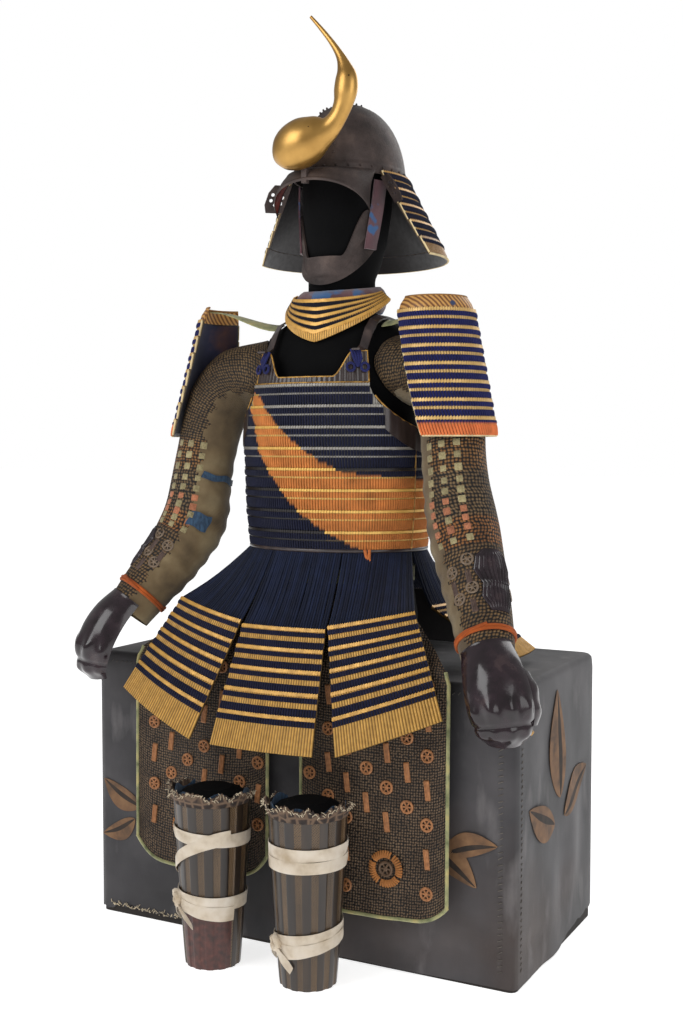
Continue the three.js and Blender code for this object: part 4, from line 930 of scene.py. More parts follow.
def add_tasset(name, side, *shape):
    plates, hung = tasset_surfaces(*shape, side)
    suffix = {0: "", 1: "_left", -1: "_right"}[side]
    label = "tasset_" + name + suffix
    tops = (0,) + TASSET_FEET[:-1]
    lames = [(top, foot - 0.006) for top, foot in zip(tops, TASSET_FEET)]
    lames[-1] = (lames[-1][0], 1)
    width = (plates(1, 0.5) - plates(0, 0.5)).length
    dull = random.Random(len(label))

    def gilt(u, t):
        shade = 0.92 + 0.16 * math.sin(37 * u + 11 * t) * 0.5
        return tuple(c * shade for c in TASSET_GOLD[:3]) + (1,)

    def silk(u, t):
        shade = 0.85 + 0.3 * dull.random()
        return tuple(c * shade for c in TASSET_SILK[:3]) + (1,)

    laced_tasset(label, plates, lames, width, silk, gilt)
    count = round(width * 0.82 / 4.4)
    runs = []
    sway = random.Random(len(label) * 3 + side)
    for i in range(count):
        u = (i + 0.5) / count
        drift = sway.uniform(-0.25, 0.25) / count
        lift = sway.uniform(0, 1.2)
        run = [stand(hung, u + drift * math.sin(math.pi * t), t, 2.2 + lift * math.sin(math.pi * t))[0]
               for t in spread(0, 1.0, 7)]
        shade = sway.uniform(0.6, 1.35)
        runs.append((run, tuple(c * shade for c in CORD_SILK[:3]) + (1,)))
    cords(label + "_hanging", runs, 2.5, laced_silk, "navy_lacing")


def laced_tasset(label, plates, lames, width, silk, gilt):
    """A tasset's lames: the last one is tall and plain, with its row of lacing near its top."""
    def piece_of(part, some, bands, nodes, rib):
        laced(label + part, plates, some, width, bands, silk, gilt, "gold_lacquer", nodes, head=5, rib=rib)
    piece_of("_lames", lames[:-1], TASSET_BANDS, [label], 0.9)
    piece_of("_foot", lames[-1:], LAST_BANDS, [], 1.7)


for name, paired, *shape in TASSETS:
    for side in ((1, -1) if paired else (0,)):
        add_tasset(name, side, *shape)

# Thigh guards: a cloth band tied round the form's waist, and for each thigh a panel of fine mail sewn
# on cloth, set with small hide bars and pierced roundels and bound in pale green brocade.
BAND_LOW = 628
BAND_HIGH = 654
THIGH_INSIDE = 32
THIGH_OUTSIDE = 304
THIGH_FRONT = -224
THIGH_EDGE = 508
THIGH_FOOT = {1: (96, 34), -1: (118, 46)}  # each side's height and the rounding of its corners
THIGH_THICK = 2.5
LAP_ROWS = 16
HANG_ROWS = 44
BAR_ORANGE = hue(172, 116, 72)


def thigh_point(side, u, v):
    """A point of a thigh panel: v runs from -1 at the waist to 0 at the trunk's edge and 1 at the foot."""
    top = oval(140.3, 105.3, -25, lerp(3, 64, u), BAND_LOW - 0.3)
    knee = Vector((lerp(THIGH_INSIDE, THIGH_OUTSIDE - 8, u), THIGH_FRONT + 6, THIGH_EDGE))
    if v <= 0:
        p = top.lerp(knee, 1 + v) + Vector((0, 0, 6 * math.sin(math.pi * (1 + v))))
    else:
        foot, corner = THIGH_FOOT[side]
        foot += corner * abs(2 * u - 1) ** 5
        wave = 4 * math.sin(9 * u + 1.1) * v + 1.2 * math.sin(23 * u + 4 * v) * v
        x = lerp(lerp(THIGH_INSIDE, THIGH_OUTSIDE - 8, u), lerp(THIGH_INSIDE, THIGH_OUTSIDE, u),
                 ease(v, 0, 0.06))
        y = THIGH_FRONT + 6 * (1 - ease(v, 0, 0.08)) - 4 * v + wave
        p = Vector((x, y, lerp(THIGH_EDGE, foot, v)))
    return Vector((side * p.x, p.y, p.z))


def mail_finish(name, dark, light, ring):
    """Fine mail: small rings in rows, each one painted with a highlight on its metal and painted dark in
    its eye as shade.
    """
    mail = finish(name, 0.6, Specular_IOR_Level=0.3)
    weave = node(mail, "Attribute", {"attribute_name": "weave"}).outputs["Vector"]
    cells = node(mail, "TexVoronoi", {"feature": "F1", "voronoi_dimensions": "2D"}, Scale=ring,
                 Randomness=0.3,
                 Vector=weave).outputs[0]
    ring_relief_and_painted_light = shades(mail, cells, (0.1, (0.9, 0.9, 0.9, 1)), (0.3, (0.5, 0.5, 0.5, 1)), (0.5, (0, 0, 0, 1)))
    dye = node(mail, "Attribute", {"attribute_name": "dye"}).outputs["Color"]
    ground = shades(mail, grain(mail, 30, 4), (0.3, dark), (0.7, light))
    tinted = blend(mail, 1.0, ground, dye, "MULTIPLY")
    # Painted light: the ring pattern mixes a painted highlight on each ring and painted shade in its eye
    # into the colour, and also gives the bump.
    wear(mail, blend(mail, ring_relief_and_painted_light, hue(20, 17, 15), tinted), ring_relief_and_painted_light, 0.0016, 0.9)
    return mail


thigh_mail = mail_finish("thigh_mail", hue(92, 74, 58), hue(136, 112, 88), 210.0)
WHITE = (1, 1, 1, 1)


def clothed(name, grid, thick, ring, material, slot, nodes, dye=lambda r, c: WHITE):
    """A cloth wall of a grid of points, with its weave measured across and along in metres."""
    inner = []
    rows, columns = len(grid), len(grid[0])
    for r in range(rows):
        line = []
        for c in range(columns):
            before, after = ((c - 1) % columns, (c + 1) % columns) if ring else (max(c - 1, 0),
                    min(c + 1, columns - 1))
            across = grid[r][after] - grid[r][before]
            down = grid[min(r + 1, rows - 1)][c] - grid[max(r - 1, 0)][c]
            line.append(grid[r][c] - down.cross(across).normalized() * thick)
        inner.append(line)
    dyes = [dye(r, c) for r in range(rows) for c in range(columns)]
    points, faces = shell(grid, inner, ring)
    mesh = plain_mesh(name, points, faces, 70, dyes + dyes)
    made = bpy.data.objects.new(name, mesh)
    weave = []
    middle = [grid[r][columns // 2] for r in range(rows)]
    down = 0
    for r in range(rows):
        down += (middle[r] - middle[r - 1]).length * MM if r else 0
        across = 0
        for c in range(columns):
            across += (grid[r][c] - grid[r][c - 1]).length * MM if c else 0
            weave.append((across, down, 0))
    mark(mesh, "weave", "FLOAT_VECTOR", weave + weave)
    mesh.materials.append(material)
    bpy.context.collection.objects.link(made)
    return fix(made, slot, *nodes)


brocade = finish("pale_brocade", 0.85, Sheen_Weight=0.2)
twill = node(brocade, "TexWave", {"wave_type": "BANDS", "bands_direction": "DIAGONAL"}, Scale=160.0,
             Distortion=2.0,
             Vector=node(brocade, "TexCoord").outputs["Object"]).outputs[0]
blotch = grain(brocade, 45, 4)
wear(brocade, shades(brocade, blotch, (0.3, hue(96, 102, 66)), (0.5, hue(152, 152, 108)),
                     (0.72, hue(188, 172, 112))),
     twill, 0.0006, 0.6)

# A pierced roundel, one unit across: a raised rim, six spokes and a boss
ROUNDEL_SIDES = 16
roundel_rows = [[(r * math.cos(2 * math.pi * k / ROUNDEL_SIDES),
                  r * math.sin(2 * math.pi * k / ROUNDEL_SIDES), z)
                 for k in range(ROUNDEL_SIDES)]
                for r, z in ((0.34, -0.05), (0.34, 0.06), (0.42, 0.12), (0.5, 0.06), (0.5, -0.05))]
roundel_points = [p for row in roundel_rows for p in row]
roundel_faces = skin(roundel_rows, ring=True)
for k in range(6):
    turn = math.pi * k / 3
    first = len(roundel_points)
    for reach in (0.08, 0.37):
        for wide, z in ((-0.045, -0.05), (-0.045, 0.07), (0.045, 0.07), (0.045, -0.05)):
            roundel_points.append((reach * math.cos(turn) - wide * math.sin(turn),
                                   reach * math.sin(turn) + wide * math.cos(turn), z))
    roundel_faces += [[first + i, first + (i + 1) % 4, first + 4 + (i + 1) % 4, first + 4 + i]
                      for i in range(4)]
    roundel_faces += [[first + i for i in (3, 2, 1, 0)], [first + 4 + i for i in range(4)]]
first = len(roundel_points)
boss_rows = [[(r * math.cos(math.pi * k / 4), r * math.sin(math.pi * k / 4), z) for k in range(8)]
             for r, z in ((0.15, -0.05), (0.15, 0.06), (0.07, 0.13))]
roundel_points += [p for row in boss_rows for p in row]
roundel_faces += skin(boss_rows, ring=True, start=first) + [[first + i for i in range(8)],
                                                            [first + 16 + i for i in range(8)]]
ROUNDEL_SHAPE = (roundel_points, roundel_faces)

# A hide bar, one unit long: ribbed lengthways, its ends bevelled
BAR_PROFILE = ((-0.5, 0), (-0.42, 0.16), (-0.25, 0.2), (-0.17, 0.12), (0, 0.2), (0.17, 0.12), (0.25, 0.2),
               (0.42, 0.16), (0.5, 0))
bar_rows = [[(x, y, z * deep - 0.02) for x, z in BAR_PROFILE]
            for y, deep in ((-0.5, 0.4), (-0.44, 1), (0.44, 1), (0.5, 0.4))]
BAR_SHAPE = ([p for row in bar_rows for p in row],
             skin(bar_rows) + [[c for c in range(9)], [27 + c for c in range(9)],
                               [0, 9, 18, 27, 35, 26, 17, 8]])

hide_ornament = finish("hide_ornament", 0.6)
dye = node(hide_ornament, "Attribute", {"attribute_name": "dye"}).outputs["Color"]
scuffed = grain(hide_ornament, 160, 4)
wear(hide_ornament, blend(hide_ornament, 1.0, dye,
                          shades(hide_ornament, scuffed, (0.3, (0.6, 0.58, 0.55, 1)),
                                 (0.7, (1.1, 1.1, 1.1, 1))),
                          "MULTIPLY"), scuffed, 0.0005, 0.5)

thigh_across = spread(0, 1, 57)
thigh_levels = spread(-1, 0, LAP_ROWS)[:-1] + spread(0, 1, HANG_ROWS)
roundels, bars, bindings, wound = [], [], [], []
for side, label in ((1, "left"), (-1, "right")):
    grid = []
    for v in thigh_levels:
        upright = ease(v, -0.2, 0)
        off = Vector((0, -THIGH_THICK * upright, THIGH_THICK * (1 - upright)))
        grid.append([thigh_point(side, 1 - u if side < 0 else u, v) + off for u in thigh_across])
    mail_panel = clothed("thigh_mail_" + label, grid, THIGH_THICK, False, thigh_mail, "mail",
                         ["thigh_panel_" + label])
    across = 36 / (THIGH_OUTSIDE - THIGH_INSIDE)
    drop = 57 / (THIGH_EDGE - THIGH_FOOT[side][0])
    for i in range(8):
        for j in range(-1, 8):
            u, v = 0.07 + i * across, 0.06 + (j + (i % 2) * 0.5) * drop
            place = thigh_point(side, u, v) + Vector((0, -3.1, 0))
            if not (0.05 < u < 0.96 and 0.02 < v < 0.92) or (abs(u - 0.60) < 0.16 and abs(v - 0.80) < 0.12):
                continue
            if (j + i // 2) % 2:
                roundels.append((place, Vector((0, -1, 0.03)), Vector((1, 0, 0)), (23, 23, 23), BAR_ORANGE))
            else:
                bars.append((place, Vector((0, -1, 0)), Vector((1, 0, 0.12 * side)), (10, 33, 12),
                             BAR_ORANGE))
    middle = thigh_point(side, 0.60, 0.80) + Vector((0, -3.6, 0))
    for k in range(40):
        turn = 2 * math.pi * k / 40
        way = Vector((math.cos(turn), 0, math.sin(turn)))
        if k % 10 != 7:
            wound.append(([middle + way * 19, middle + way * 24 + Vector((0, -3.2, 0)),
                           middle + way * 30], hue(178, 118, 66)))
    roundels.append((middle, Vector((0, -1, 0)), Vector((1, 0, 0)), (26, 26, 30), hue(108, 84, 64)))
    for u in (0.004, 0.996):
        bindings.append(([thigh_point(side, u, v) + Vector((0, -1.6, 0)) for v in spread(0.0, 1, 40)],
                         WHITE))
    bindings.append(([thigh_point(side, u, 0.998) + Vector((0, -1.6, 0)) for u in spread(0, 1, 40)], WHITE))
set_out("thigh_roundels", ROUNDEL_SHAPE, roundels, hide_ornament, "splint_leather")
set_out("thigh_bars", BAR_SHAPE, bars, hide_ornament, "splint_leather")
cords("thigh_bindings", bindings, 3.4, brocade, "brocade")
cords("thigh_wound_rings", wound, 1.9, laced_silk, "orange_silk")
ring = [[form_point(TORSO_ROWS, z, 360 * c / 96, 3.3) for c in range(96)]
        for z in spread(BAND_HIGH, BAND_LOW, 8)]
waist = clothed("waist_band", ring, 3, True, brocade, "brocade", ["thigh_band"])

# Shoulder guards: seven gilt lames laced in navy silk and curved round the upper arm, the last one
# faced with orange silk, under a crown plate of smoked hide. A cream cord binds their ends.
SODE_TOP = (201, -54, 64, 1096)  # middle x and y, radius and height
SODE_FOOT = (231, -72, 82, 884)
SODE_ARCS = {1: ((-42, 150), (-6, 172)), -1: ((30, 152), (44, 176))}  # ends at the top and at the foot
SODE_LAMES = 7
SODE_BANDS = ((0.17, 0.42, 3), (0.62, 1.0, 4))
SODE_GOLD = hue(222, 182, 112)
SODE_SILK = hue(26, 29, 84)
SODE_ORANGE = hue(226, 124, 72)
CREAM = hue(226, 204, 158)
CROWN_RISE = ((24, -11), (18, -7), (12, -3), (6, -1), (0.3, 0))


def sode_surface(side):
    def surface(u, t, rise=0, out=0):
        x, y, r, z = (lerp(a, b, t) for a, b in zip(SODE_TOP, SODE_FOOT))
        start, end = (lerp(a, b, t) for a, b in zip(*SODE_ARCS[side]))
        p = oval(r + out, r + out, y, lerp(start, end, 1 - u if side < 0 else u), z + rise)
        return Vector((side * (p.x + x), p.y, p.z))
    return surface


smoked_hide = finish("smoked_hide", 0.6, Coat_Weight=0.1)
stripes = node(smoked_hide, "TexWave", {"wave_type": "BANDS", "bands_direction": "DIAGONAL"}, Scale=55.0,
               Distortion=1.5,
               Vector=node(smoked_hide, "TexCoord").outputs["Object"]).outputs[0]
spots = node(smoked_hide, "TexVoronoi", {"feature": "F1"}, Scale=34.0,
             Vector=node(smoked_hide, "TexCoord").outputs["Object"]).outputs[0]
hide = shades(smoked_hide, stripes, (0.2, hue(120, 76, 38)), (0.8, hue(204, 152, 82)))
wear(smoked_hide, blend(smoked_hide, shades(smoked_hide, spots, (0.16, (1, 1, 1, 1)), (0.24, (0, 0, 0, 1))),
                        hide, hue(46, 62, 96)), stripes, 0.0006, 0.5)

guard_lining = finish("guard_lining", 0.95, Sheen_Weight=0.2)
faded = grain(guard_lining, 14, 4)
wear(guard_lining, shades(guard_lining, faded, (0.35, hue(20, 24, 48)), (0.55, hue(38, 40, 66)),
                          (0.75, hue(92, 62, 54))), faded,
     0.002, 0.5)

guard_rims = []
for side, label in ((1, "left"), (-1, "right")):
    surface = sode_surface(side)
    pitch = 1 / SODE_LAMES
    lames = [(k * pitch, (k + 1) * pitch - 0.006) for k in range(SODE_LAMES)]
    width = sum((surface((i + 1) / 20, 0.5) - surface(i / 20, 0.5)).length for i in range(20))
    laced("shoulder_lames_" + label, surface, lames[:-1], width, SODE_BANDS, lambda u, t: SODE_SILK,
          lambda u, t: SODE_GOLD, "navy_lacing", ["shoulder_guard_" + label], head=5)
    last = lames[-1]
    laced("shoulder_foot_" + label, surface, [(last[0], 1)], width, ((0.17, 0.36, 3), (0.40, 0.97, 5)),
          lambda u, t: SODE_SILK if t < last[0] + 0.3 * pitch else SODE_ORANGE, lambda u, t: SODE_GOLD,
          "orange_silk", [], head=5)
    for top, foot in lames:
        for u in (0.004, 0.996):
            guard_rims.append(([stand(surface, u, t, PLATE + lerp(LEDGE, 0.6, (t - top) / (foot - top)))[0]
                                for t in spread(top + 0.004, foot - 0.004, 4)], CREAM))
    guard_rims.append(([stand(surface, u, 0.998, PLATE)[0] for u in spread(0.01, 0.99, 40)], CREAM))
    lining = [[surface(u, t, 0, -0.4) for u in spread(0.98, 0.02, 30)] for t in spread(0.01, 0.97, 24)]
    backing = clothed("guard_lining_" + label, lining, 0.5, False, guard_lining, "brocade", [])
    across = spread(0, 1, 41)
    grids = [[[surface(u, 0, rise, draw + out) for u in across] for rise, draw in CROWN_RISE]
             for out in (PLATE, 0)]
    piece("crown_" + label, *shell(*grids), smoked_hide, "brown_lacquer", "guard_crown_" + label, sharp=50)
    guard_rims.append(([surface(u, 0, CROWN_RISE[0][0], CROWN_RISE[0][1] + 1.2) for u in across],
                       hue(150, 108, 60)))

# Helmet: a bowl of three iron plates riveted together and left russet, with a peak lacquered red
# inside. Small standing rivets follow the plates' seams and the rim.
BOWL_A = 97
BOWL_B = 118
BOWL_Y = 19
BOWL_RIM = 1345
BOWL_HEIGHT = 136
CROWN_STRIP = 30  # half the width of the plate that runs from front to back
PEAK_REACH = 58
PEAK_SEAT = 1349
PEAK_ARCH = 7


def bowl_point(degrees, rise, out=0):
    """A point of the bowl: its angle round and its angle up from the rim."""
    share = max(math.cos(math.radians(rise)), 0) ** 0.85
    z = BOWL_RIM + (BOWL_HEIGHT + min(out, 0)) * math.sin(math.radians(rise)) + max(out,
            0) * math.sin(math.radians(rise))
    return oval((BOWL_A + out) * share, (BOWL_B + out) * share, BOWL_Y, degrees, z)


def bowl_relief(degrees, rise):
    p = bowl_point(degrees, rise)
    strip = 1 - ease(abs(p.x), CROWN_STRIP - 1.5, CROWN_STRIP + 1.5)
    band = 1 - ease(p.z, BOWL_RIM + 15, BOWL_RIM + 17)
    return 1.3 * max(strip, band)


russet_iron = finish("russet_iron", 0.55, Metallic=0.35)
rust = grain(russet_iron, 26, 6)
pits = grain(russet_iron, 380, 4)
hammer = node(russet_iron, "TexVoronoi", {"feature": "SMOOTH_F1"}, Scale=110.0,
              Vector=node(russet_iron, "TexCoord").outputs["Object"]).outputs[0]
wear(russet_iron, shades(russet_iron, rust, (0.3, hue(44, 36, 34)), (0.55, hue(68, 57, 54)),
                         (0.78, hue(96, 81, 74))),
     sums(russet_iron, "ADD", sums(russet_iron, "MULTIPLY", hammer, 0.6), pits), 0.0006, 0.4,
     shades(russet_iron, pits, (0.3, (0.5,) * 3 + (1,)), (0.7, (0.72,) * 3 + (1,))))

turns = [360 * c / 120 for c in range(120)]
rises = [0, 2, 4, 5.5, 6.5, 7.5, 9] + spread(12, 87, 26)
outer = [[bowl_point(angle, rise, bowl_relief(angle, rise)) for angle in turns] for rise in reversed(rises)]
inner = [[bowl_point(angle, rise, -PLATE) for angle in turns] for rise in reversed(rises)]
points, faces = shell(outer, inner, ring=True)
columns, half = len(turns), len(turns) * len(rises)
faces = [f for f in faces if not all(i % half < columns for i in f)]
faces += [list(range(columns)), [half + c for c in range(columns)]]
piece("bowl_iron", points, faces, russet_iron, "russet_iron", "helmet_bowl", sharp=60)

# A rivet's head, one unit across: a low dome on a short neck
RIVET_RINGS = ((0.5, -0.3), (0.5, 0.1), (0.36, 0.34), (0.14, 0.46))
rivet_rows = [[(r * math.cos(math.pi * k / 4), r * math.sin(math.pi * k / 4), z) for k in range(8)]
              for r, z in RIVET_RINGS]
RIVET_SHAPE = ([p for row in rivet_rows for p in row],
               skin(rivet_rows, ring=True) + [list(range(8)), list(range(24, 32))])


def rivet(place, out, side, across, high, dye):
    return (place, out, side, (across, across, high), dye)


rivets = []
for rise in range(14, 88, 6):
    for side in (-1, 1):
        for front in (0, 180):
            reach = BOWL_A * max(math.cos(math.radians(rise)), 0) ** 0.85
            share = min((CROWN_STRIP - 5) / reach, 1)
            angle = math.degrees(math.asin(share)) * side + front
            out = (bowl_point(angle, rise, 5) - bowl_point(angle, rise)).normalized()
            tall = 7 if rise > 50 else 3
            rivets.append(rivet(bowl_point(angle, rise, 1.6), out, Vector((0, 0, 1)).cross(out), 4.2,
                                tall, CREAM))
for i in range(30):
    angle = 360 * i / 30 + 6
    out = (bowl_point(angle, 4, 5) - bowl_point(angle, 4)).normalized()
    rivets.append(rivet(bowl_point(angle, 4.4, 1.7), out, Vector((0, 0, 1)), 4.6, 4.5, CREAM))
set_out("bowl_rivets", RIVET_SHAPE, rivets, russet_iron, "russet_iron")


def peak_point(angle, share, out=0):
    turn = math.radians(angle / PEAK_REACH * 90)
    edge = Vector((92 * math.sin(turn), -146 + 61 * (1 - math.cos(turn)),
                   1322 - 50 * (angle / PEAK_REACH) ** 2))
    seat = oval(BOWL_A + 0.6, BOWL_B + 0.6, BOWL_Y, angle, PEAK_SEAT)
    arch = PEAK_ARCH * math.sin(math.pi * share)
    return seat.lerp(edge, share) + Vector((0, -arch - out * 0.6, arch + out * 0.8))


def peak_relief(angle, share):
    """The embossed brows: a soft ridge over each eye, and a rolled edge."""
    brow = math.exp(-((share - 0.35 - 0.22 * math.cos(math.radians(angle * 2.6))) / 0.07) ** 2)
    side = ease(abs(angle), 6, 14) * (1 - ease(abs(angle), 38, 48))
    return PLATE + 2.2 * brow * side + (1.4 if share > 0.95 else 0)


peak_angles = spread(-PEAK_REACH, PEAK_REACH, 81)
peak_shares = spread(0, 0.93, 22) + [0.955, 0.98, 1]
outer = [[peak_point(a, s, peak_relief(a, s)) for a in peak_angles] for s in peak_shares]
inner = [[peak_point(a, s) for a in peak_angles] for s in peak_shares]
piece("peak_iron", *shell(outer, inner), russet_iron, "russet_iron", "helmet_peak", sharp=60)
red_lacquer = finish("red_lacquer", 0.3, Coat_Weight=0.4)
bloom = grain(red_lacquer, 40, 4)
wear(red_lacquer, shades(red_lacquer, bloom, (0.3, hue(70, 24, 16)), (0.7, hue(118, 44, 28))), bloom,
     0.0003, 0.3)
lining = [[[peak_point(a, s, -out) for a in peak_angles[2:-2]] for s in peak_shares[1:-2]]
          for out in (0.3, 0.9)]
piece("peak_lining", *shell(*lining), red_lacquer, "brown_lacquer", sharp=60)
PRONG = ((-9, 1), (1, 1), (1, -9), (-9, -9))
prong = [[(x, y - 138, z) for x, y in PRONG] for z in (1318, 1348)]
piece("crest_prong", [p for row in prong for p in row],
      skin(prong, ring=True) + [[0, 1, 2, 3], [7, 6, 5, 4]], russet_iron, "russet_iron")

# Fore-crest: a long-necked gourd turned from wood, gilt over lacquer and worn through in specks,
# on a prong at the peak. Its stalk is drawn out to a thin curl.
GOURD_Y = -150
GOURD_DEPTH = 0.74
GOURD_ROWS = (
    (-61, 1367, 4), (-56, 1368, 17), (-43, 1372, 32), (-22, 1379, 41), (2, 1387, 42), (26, 1396, 33),
    (47, 1404, 21),
    (63, 1420, 16.5), (74, 1441, 17.5), (79, 1463, 21), (80, 1485, 19), (76, 1503, 12.5), (68, 1522, 7.5),
    (53, 1545, 5), (33, 1570, 3.8), (12, 1594, 2.6),
)
GOURD_SIDES = 28


def smooth(rows, place):
    """A table's row read on a smooth curve through its rows, at a place counted in rows."""
    last = len(rows) - 1
    i = min(int(place), last - 1)
    t = place - i
    picked = [rows[min(max(i + k, 0), last)] for k in (-1, 0, 1, 2)]
    return [0.5 * (2 * b + (c - a) * t + (2 * a - 5 * b + 4 * c - d) * t ** 2
                   + (3 * b - a - 3 * c + d) * t ** 3)
            for a, b, c, d in zip(*picked)]


def gourd_ring(place):
    x, z, r = smooth(GOURD_ROWS, place)
    before, after = smooth(GOURD_ROWS, max(place - 0.3, 0)), smooth(GOURD_ROWS,
            min(place + 0.3, len(GOURD_ROWS) - 1))
    way = Vector((after[0] - before[0], 0, after[1] - before[1])).normalized()
    ring = []
    for c in range(GOURD_SIDES):
        turn = 2 * math.pi * c / GOURD_SIDES
        up = r * math.cos(turn)
        ring.append((x - way.z * up, GOURD_Y + r * GOURD_DEPTH * math.sin(turn), z + way.x * up))
    return ring


gilt_wood = finish("gilt_wood", 0.3, Metallic=0.85, Coat_Weight=0.15, Coat_Roughness=0.25)
leaf = grain(gilt_wood, 14, 5)
specks = node(gilt_wood, "TexVoronoi", {"feature": "F1"}, Scale=46.0,
              Vector=node(gilt_wood, "TexCoord").outputs["Object"]).outputs[0]
worn = sums(gilt_wood, "ADD", specks, sums(gilt_wood, "MULTIPLY", grain(gilt_wood, 300, 3), 0.16))
gold = shades(gilt_wood, leaf, (0.3, hue(152, 113, 54)), (0.7, hue(204, 160, 88)))
wear(gilt_wood, blend(gilt_wood, shades(gilt_wood, worn, (0.13, (1, 1, 1, 1)), (0.165, (0, 0, 0, 1))),
                      gold, hue(52, 34, 22)),
     worn, 0.0004, 0.25, shades(gilt_wood, leaf, (0.3, (0.26,) * 3 + (1,)), (0.75, (0.4,) * 3 + (1,))))
rings = [gourd_ring(place) for place in spread(0, len(GOURD_ROWS) - 1, 91)]
last = len(rings) * GOURD_SIDES - GOURD_SIDES
piece("crest_gilt", [p for ring in rings for p in ring],
      skin(rings, ring=True) + [list(range(GOURD_SIDES)), [last + c for c in range(GOURD_SIDES)]],
      gilt_wood, "gold_lacquer", "crest_gourd", sharp=80)

# Neck guard: five flaring lames laced in navy silk round the back and sides of the bowl, the last
# faced with brown-gold hide and bound in cream. Two plates turn back at its front ends.
GUARD_TOP = (98.6, 120, 19, 1348)
GUARD_FOOT = (172, 170, 30, 1203)
GUARD_FRONT = 62
GUARD_DRAW = 15
GUARD_LAMES = 5
GUARD_BANDS = ((0.14, 0.46, 3), (0.60, 1.0, 4))
GUARD_SILK = hue(22, 24, 44)
GUARD_GOLD = hue(206, 158, 82)
HIDE_GOLD = hue(156, 116, 62)


def guard_surface(u, t):
    front = GUARD_FRONT + GUARD_DRAW * t
    flare = max(t, 0) ** 1.05
    a, b = (lerp(GUARD_TOP[k], GUARD_FOOT[k], flare) for k in (0, 1))
    y, z = (lerp(GUARD_TOP[k], GUARD_FOOT[k], t) for k in (2, 3))
    return oval(a, b, y, lerp(front, 360 - front, u), z)


pitch = 1 / GUARD_LAMES
lames = [(k * pitch, (k + 1) * pitch - 0.008) for k in range(GUARD_LAMES)]
guard_width = sum((guard_surface((i + 1) / 40, 0.5) - guard_surface(i / 40, 0.5)).length for i in range(40))
laced("neck_lames", guard_surface, lames[:-1], guard_width, GUARD_BANDS, lambda u, t: GUARD_SILK,
      lambda u, t: GUARD_GOLD,
      "navy_lacing", ["neck_guard"], scale=5, head=4)
laced("neck_foot", guard_surface, [(lames[-1][0], 1)], guard_width, ((0.14, 0.32, 3),),
      lambda u, t: GUARD_SILK,
      lambda u, t: HIDE_GOLD, "navy_lacing", [], scale=5, head=4, rib=1.2)
for top, foot in lames:
    for u in (0.003, 0.997):
        guard_rims.append(([stand(guard_surface, u, t,
                                  PLATE + lerp(LEDGE, 0.6, (t - top) / (foot - top)))[0]
                            for t in spread(top + 0.004, foot - 0.004, 4)], CREAM))
guard_rims.append(([stand(guard_surface, u, 0.999, PLATE + 0.6)[0] for u in spread(0.002, 0.998, 90)],
                   CREAM))
cords("guard_rims", guard_rims, 2.0, laced_silk, "brocade")
for name in ("turnback_left", "turnback_right"):
    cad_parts[name].data.materials.clear()
    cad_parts[name].data.materials.append(russet_iron)

# Chin mask: a half mask of russet iron over the form's jaw, its edges turned out, tied under the
# chin by bands of felted wool that come down from the helmet's rim.
MASK_REACH = 80
MASK_CHIN = 1150


def mask_out(z):
    return 0.6 + 12 * (1 - ease(z, MASK_CHIN, 1232))


def mask_point(angle, t, out):
    top = lerp(1200, 1282, ease(abs(angle), 26, 58))
    foot = MASK_CHIN + 72 * (angle / MASK_REACH) ** 2
    z = lerp(top, foot, t)
    return form_point(HEAD_ROWS, z, angle, mask_out(z) + out)


def mask_relief(angle, t):
    chin = 4 * math.exp(-((angle / 14) ** 2)) * math.exp(-(((t - 0.8) / 0.14) ** 2))
    lip = 1.5 * (1 - ease(t, 0, 0.06))
    cheek = 1.8 * math.exp(-(((t - 0.62
                               - 0.1 * math.cos(math.radians(3 * angle)))
                               / 0.06) ** 2)) * ease(abs(angle), 20, 36)
    return PLATE + chin + lip + cheek


mask_angles = spread(-MASK_REACH, MASK_REACH, 97)
mask_shares = [0, 0.03, 0.06] + spread(0.1, 1, 34)
outer = [[mask_point(a, t, mask_relief(a, t)) for a in mask_angles] for t in mask_shares]
inner = [[mask_point(a, t, 0) for a in mask_angles] for t in mask_shares]
piece("mask_iron", *shell(outer, inner), russet_iron, "russet_iron", "chin_mask", sharp=60)

felt = finish("felted_wool", 0.95, Sheen_Weight=0.35, Sheen_Roughness=0.6)
fuzz = grain(felt, 700, 3)
moth = grain(felt, 24, 5)
wool = shades(felt, moth, (0.3, hue(66, 36, 44)), (0.7, hue(104, 62, 70)))
wear(felt, blend(felt, shades(felt, grain(felt, 19, 3), (0.6, (0, 0, 0, 1)), (0.64, (1, 1, 1, 1))), wool,
                 hue(34, 84, 134)),
     fuzz, 0.0009, 0.6)
STRAP_ENDS = (1336, 1214)  # heights
STRAP_ANGLES = (73, 66)  # at its top and foot
STRAP_HALF = 9  # half its width, in degrees round the head
STRAP_STAND = 2.6
STRAP_THICK = 3
for side, label in ((1, "left"), (-1, "right")):
    grids = []
    for out in (STRAP_THICK, 0):
        grid = []
        for t in spread(0, 1, 24):
            z = lerp(*STRAP_ENDS, t)
            row = []
            for w in spread(-1, 1, 9):
                swell = 0.8 * (1 - w * w) + 0.5 * math.sin(9 * t + 2 * w) if out else 0
                clear = mask_out(z) + PLATE + STRAP_STAND + out + swell * 0.6
                p = form_point(HEAD_ROWS, z, lerp(*STRAP_ANGLES, t) + STRAP_HALF * w, clear)
                row.append((side * p.x, p.y, p.z))
            grid.append(row)
        grids.append(grid)
    band = piece("felt_strap_" + label, *shell(*grids), felt, "wool", "chin_strap_" + label, sharp=60)

